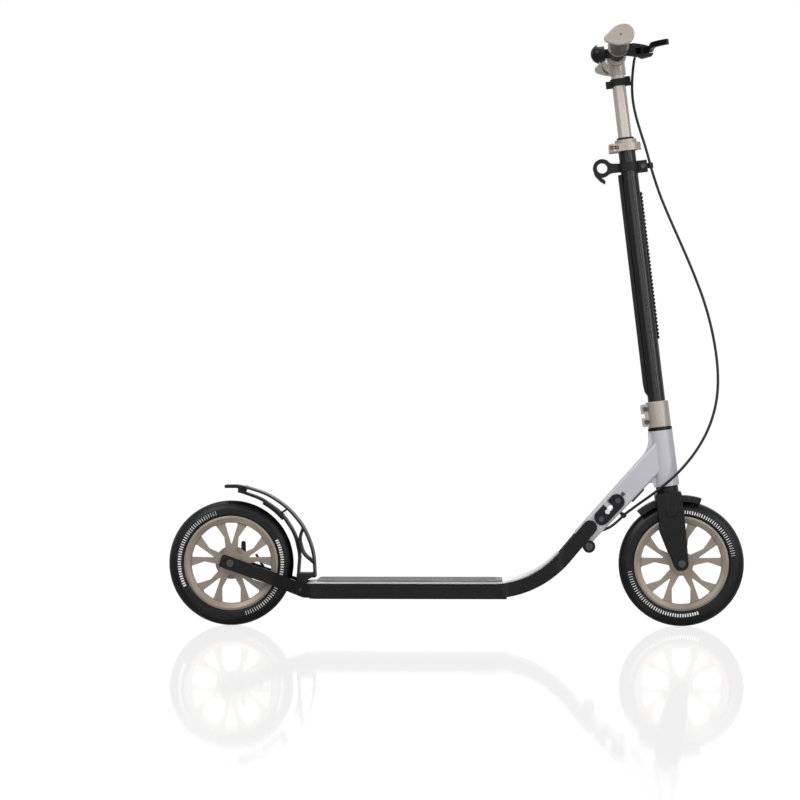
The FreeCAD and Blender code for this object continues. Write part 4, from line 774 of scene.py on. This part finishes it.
# ------------------------------------------------------------------ deck
@dataclass
class StandingMat:
    """Grip mat of the deck: low rubber studs in a staggered grid."""

    pitch: float = 5.2 * MM
    stud_radius: float = 1.5 * MM
    stud_height: float = 0.5 * MM
    edge: float = 7.0 * MM

    def build(self) -> bpy.types.Object:
        """Makes the studs on top of the mat.

        Returns:
            The piece.
        """
        low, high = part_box("grip_mat")
        columns = int((high.x - low.x - 2 * self.edge) / self.pitch)
        rows = int((high.y - low.y - 2 * self.edge) / self.pitch) + 1
        made = PatternTree("mat_studs", {
            "First Stud": (low.x + self.edge, (low.y + high.y) / 2 - (rows - 1) * self.pitch / 2, high.z),
            "Columns": columns, "Rows": rows, "Pitch": self.pitch, "Stud Radius": self.stud_radius,
            "Stud Height": self.stud_height})
        graph = made.graph
        total = graph.math("MULTIPLY", made.size("Columns"), made.size("Rows"))
        index = graph.add("GeometryNodeInputIndex").outputs[0]
        row = graph.math("FLOOR", graph.math("DIVIDE", graph.math("ADD", index, 0.5), made.size("Columns")))
        column = graph.math("SUBTRACT", index, graph.math("MULTIPLY", row, made.size("Columns")))
        stagger = graph.math("MULTIPLY", graph.math("MODULO", row, 2.0), 0.5)
        spot = made.vector("ADD", made.size("First Stud"), made.point(
            graph.math("MULTIPLY", graph.math("ADD", column, stagger), made.size("Pitch")),
            graph.math("MULTIPLY", row, made.size("Pitch")), 0.0))
        dots = graph.add("GeometryNodePoints", {"Count": total, "Position": spot})
        stud = graph.add("GeometryNodeMeshUVSphere", {"Segments": 8, "Rings": 4, "Radius": 1.0})
        placed = graph.add("GeometryNodeInstanceOnPoints", {
            "Points": dots.outputs[0], "Instance": stud.outputs[0],
            "Scale": made.point(made.size("Stud Radius"), made.size("Stud Radius"),
                                made.size("Stud Height"))})
        made.close(placed.outputs[0], SHOP.material(MAT_RUBBER))
        mesh = made.harvest(SHOP.material(MAT_RUBBER))
        piece = place_piece("mat_studs", mesh)
        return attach(piece, "deck")


@dataclass
class Deck:
    """Platform with its rails, mat, cover, plate, pins, stand and rear mudguard."""

    def build(self) -> None:
        """Dresses the deck's nodes and adds the mat's studs."""
        SHOP.dress(MILL_ALLOY, "deck_extrusion")
        SHOP.dress(MAT_RUBBER, "grip_mat")
        SHOP.dress(SATIN_BLACK, "side_rail_left", "side_rail_right", "under_cover", "kickstand_bracket",
                   "kickstand_leg")
        SHOP.dress(SILVER_ALLOY, "front_plate")
        SHOP.dress(BLACK_STEEL, "fold_pivot_pin", "fender_hinge_pin", "rear_axle")
        SHOP.dress(SATIN_BLACK, "brake_backing_plate", "brake_arm")
        SHOP.dress(BLACK_PLASTIC, "rear_fender")
        SHOP.dress(SOFT_RUBBER, "rear_fender_pad", "kickstand_foot")
        StandingMat().build()


# ------------------------------------------------------------------ neck and column
@dataclass
class Neck:
    """Folding neck with its lock and cable clip."""

    def build(self) -> None:
        """Dresses the neck's nodes."""
        SHOP.dress(NECK_PAINT, "neck_frame")
        SHOP.dress(BRONZE, "fold_bushes")
        SHOP.dress(SATIN_BLACK, "lock_plates")
        SHOP.dress(BLACK_STEEL, "lock_plate_bolts")
        SHOP.dress(ZINC_STEEL, "headset_bearings")
        SHOP.dress(BLACK_PLASTIC, "neck_cable_clip")
        SHOP.dress(SILVER_ALLOY, "lock_pin")
        SHOP.dress(SOFT_RUBBER, "release_pad")


@dataclass
class Column:
    """Fork, steering tube and what is clamped to them."""

    def build(self) -> None:
        """Dresses the column's nodes."""
        SHOP.dress(SATIN_BLACK, "fork", "headset_rings")
        SHOP.dress(ANODISED_BLACK, "steering_tube")
        SHOP.dress(BLACK_PLASTIC, "front_fender", "column_rails", "carry_hook", "tube_wiper")
        SHOP.dress(BLACK_STEEL, "front_axle", "column_bolts")
        SHOP.dress(TITANIUM, "fork_clamp", "quick_release_collar", "quick_release_lever")
        SHOP.dress(LEVER_INSERT, "quick_release_bolt")


# ------------------------------------------------------------------ handlebar
@dataclass
class Handlebar:
    """Sliding tube, bar, grips, brake lever and bell."""

    def build(self) -> None:
        """Dresses the handlebar's nodes."""
        SHOP.dress(TUBE_TITANIUM, "inner_tube")
        SHOP.dress(TITANIUM, "stem_tee", "handlebar", "grip_ends")
        SHOP.dress(BLACK_PLASTIC, "stem_band", "brake_bracket", "bell_base", "bell_striker")
        SHOP.dress(SATIN_BLACK, "brake_lever")
        SHOP.dress(GRIP_RUBBER, "grips")
        SHOP.dress(SILVER_ALLOY, "cable_adjuster")
        SHOP.dress(SATIN_BLACK, "bell_dome")


# ------------------------------------------------------------------ studio
SCOOTER_MIDDLE = (0.05, 0.0, 0.45)


@dataclass(frozen=True)
class Softbox:
    """One large soft light, in metres and watts."""

    name: str
    place: Point
    size: tuple[float, float]
    power: float
    target: Point = SCOOTER_MIDDLE


SOFTBOXES = (
    Softbox("key_light", (-1.6, -2.6, 2.6), (1.6, 1.6), 60.0),
    Softbox("fill_light", (2.6, -2.0, 1.4), (1.0, 2.2), 30.0),
    Softbox("top_light", (0.0, 0.3, 3.2), (3.0, 1.4), 50.0),
    Softbox("front_light", (-0.4, -3.6, 0.7), (2.6, 0.9), 14.0, (0.0, 0.0, 0.3)),
    Softbox("strip_light", (1.5, -3.0, 0.9), (0.22, 2.4), 16.0, (0.3, 0.0, 0.6)),
    Softbox("back_light", (0.8, 2.8, 1.8), (2.4, 1.6), 25.0),
)


@dataclass
class Studio:
    """Camera, pale floor and soft lights."""

    aim: Point = (-0.103, 0.0, 0.416)
    distance: float = 5.6
    lens: float = 136.4
    azimuth: float = math.radians(1.85)
    floor_half: float = 30.0
    floor_glow: float = 1.15
    floor_fill: float = 0.25
    floor_mirror: float = 0.25
    surroundings: float = 0.25
    mirrored_share: float = 0.8

    def camera(self) -> bpy.types.Object:
        """Camera level with the middle of the picture, looking along +Y."""
        data = bpy.data.cameras.new("camera")
        data.lens = self.lens
        data.sensor_width = 36.0
        data.clip_end = 100.0
        camera = bpy.data.objects.new("camera", data)
        camera.location = (self.aim[0] + self.distance * math.sin(self.azimuth),
                           self.aim[1] - self.distance * math.cos(self.azimuth), self.aim[2])
        camera.rotation_euler = (math.pi / 2, 0.0, self.azimuth)
        bpy.context.scene.collection.objects.link(camera)
        bpy.context.scene.camera = camera
        return camera

    def floor_material(self) -> bpy.types.Material:
        """Pale floor with a faint reflection."""
        material = bpy.data.materials.new("pale_floor")
        material.use_nodes = True
        material.node_tree.nodes.clear()
        graph = Graph(material.node_tree)
        place = graph.add("ShaderNodeTexCoord").outputs["Object"]
        cloud = graph.add("ShaderNodeTexNoise", {"Vector": place, "Scale": 2.5, "Detail": 3.0})
        tone = graph.mix(cloud.outputs[0], (0.93, 0.93, 0.93, 1.0), (0.97, 0.97, 0.97, 1.0))
        matt = graph.add("ShaderNodeBsdfDiffuse", {"Color": tone})
        seen = graph.add("ShaderNodeLightPath").outputs["Is Camera Ray"]
        strength = graph.math("MULTIPLY_ADD", seen, self.floor_glow - self.floor_fill, self.floor_fill)
        glow = graph.add("ShaderNodeEmission", {"Color": (1.0, 1.0, 1.0, 1.0), "Strength": strength})
        lit = graph.add("ShaderNodeMixShader", {0: 0.9, 1: matt.outputs[0], 2: glow.outputs[0]})
        mirror = graph.add("ShaderNodeBsdfGlossy", {"Color": (1.0, 1.0, 1.0, 1.0), "Roughness": 0.05})
        both = graph.add("ShaderNodeMixShader", {
            0: self.floor_mirror, 1: lit.outputs[0], 2: mirror.outputs[0]})
        out = graph.add("ShaderNodeOutputMaterial")
        graph.tree.links.new(both.outputs[0], out.inputs[0])
        return material

    def floor(self) -> bpy.types.Object:
        """Flat floor at the height of the tyres' lowest point."""
        level = min(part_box("front_tyre")[0].z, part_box("rear_tyre")[0].z)
        half = self.floor_half
        mesh = bpy.data.meshes.new("floor")
        corners = [(-half, -half, level), (half, -half, level), (half, half, level), (-half, half, level)]
        mesh.from_pydata(corners, [], [(0, 1, 2, 3)])
        mesh.materials.append(self.floor_material())
        floor = bpy.data.objects.new("floor", mesh)
        bpy.context.scene.collection.objects.link(floor)
        return floor

    def hang(self, box: Softbox) -> None:
        """Puts up one light.

        Args:
            box: the light.
        """
        data = bpy.data.lights.new(box.name, "AREA")
        data.shape = "RECTANGLE"
        data.size, data.size_y = box.size
        data.energy = box.power
        light = bpy.data.objects.new(box.name, data)
        light.location = box.place
        facing = Vector(box.target) - Vector(box.place)
        light.rotation_euler = facing.to_track_quat("-Z", "Y").to_euler()
        bpy.context.scene.collection.objects.link(light)

    def build(self) -> None:
        """Sets up the camera, the floor, the lights and the pale surroundings."""
        self.camera()
        self.floor()
        for box in SOFTBOXES:
            self.hang(box)
        world = bpy.data.worlds.new("pale_surroundings")
        world.use_nodes = True
        world.node_tree.nodes.clear()
        graph = Graph(world.node_tree)
        path = graph.add("ShaderNodeLightPath")
        mirrored = graph.math("MULTIPLY", path.outputs["Is Glossy Ray"], self.mirrored_share)
        plain = graph.math("MAXIMUM", path.outputs["Is Camera Ray"], mirrored)
        strength = graph.math("MULTIPLY_ADD", plain, 1.0 - self.surroundings, self.surroundings)
        pale = graph.add("ShaderNodeBackground", {"Color": (1.0, 1.0, 1.0, 1.0), "Strength": strength})
        out = graph.add("ShaderNodeOutputWorld")
        graph.tree.links.new(pale.outputs[0], out.inputs[0])
        bpy.context.scene.world = world
        bpy.context.scene.view_settings.view_transform = "Standard"


def main() -> None:
    """Builds the scooter's looks, sub-assembly by sub-assembly."""
    Studio().build()
    for piece in BrakeCable().build():
        log.info("cable span %s", piece.name)
    for assembly in (FrontWheel(), RearWheel(), Deck(), Neck(), Column(), Handlebar()):
        assembly.build()
        log.info("built %s", type(assembly).__name__)


if __name__ == "__main__":
    main()
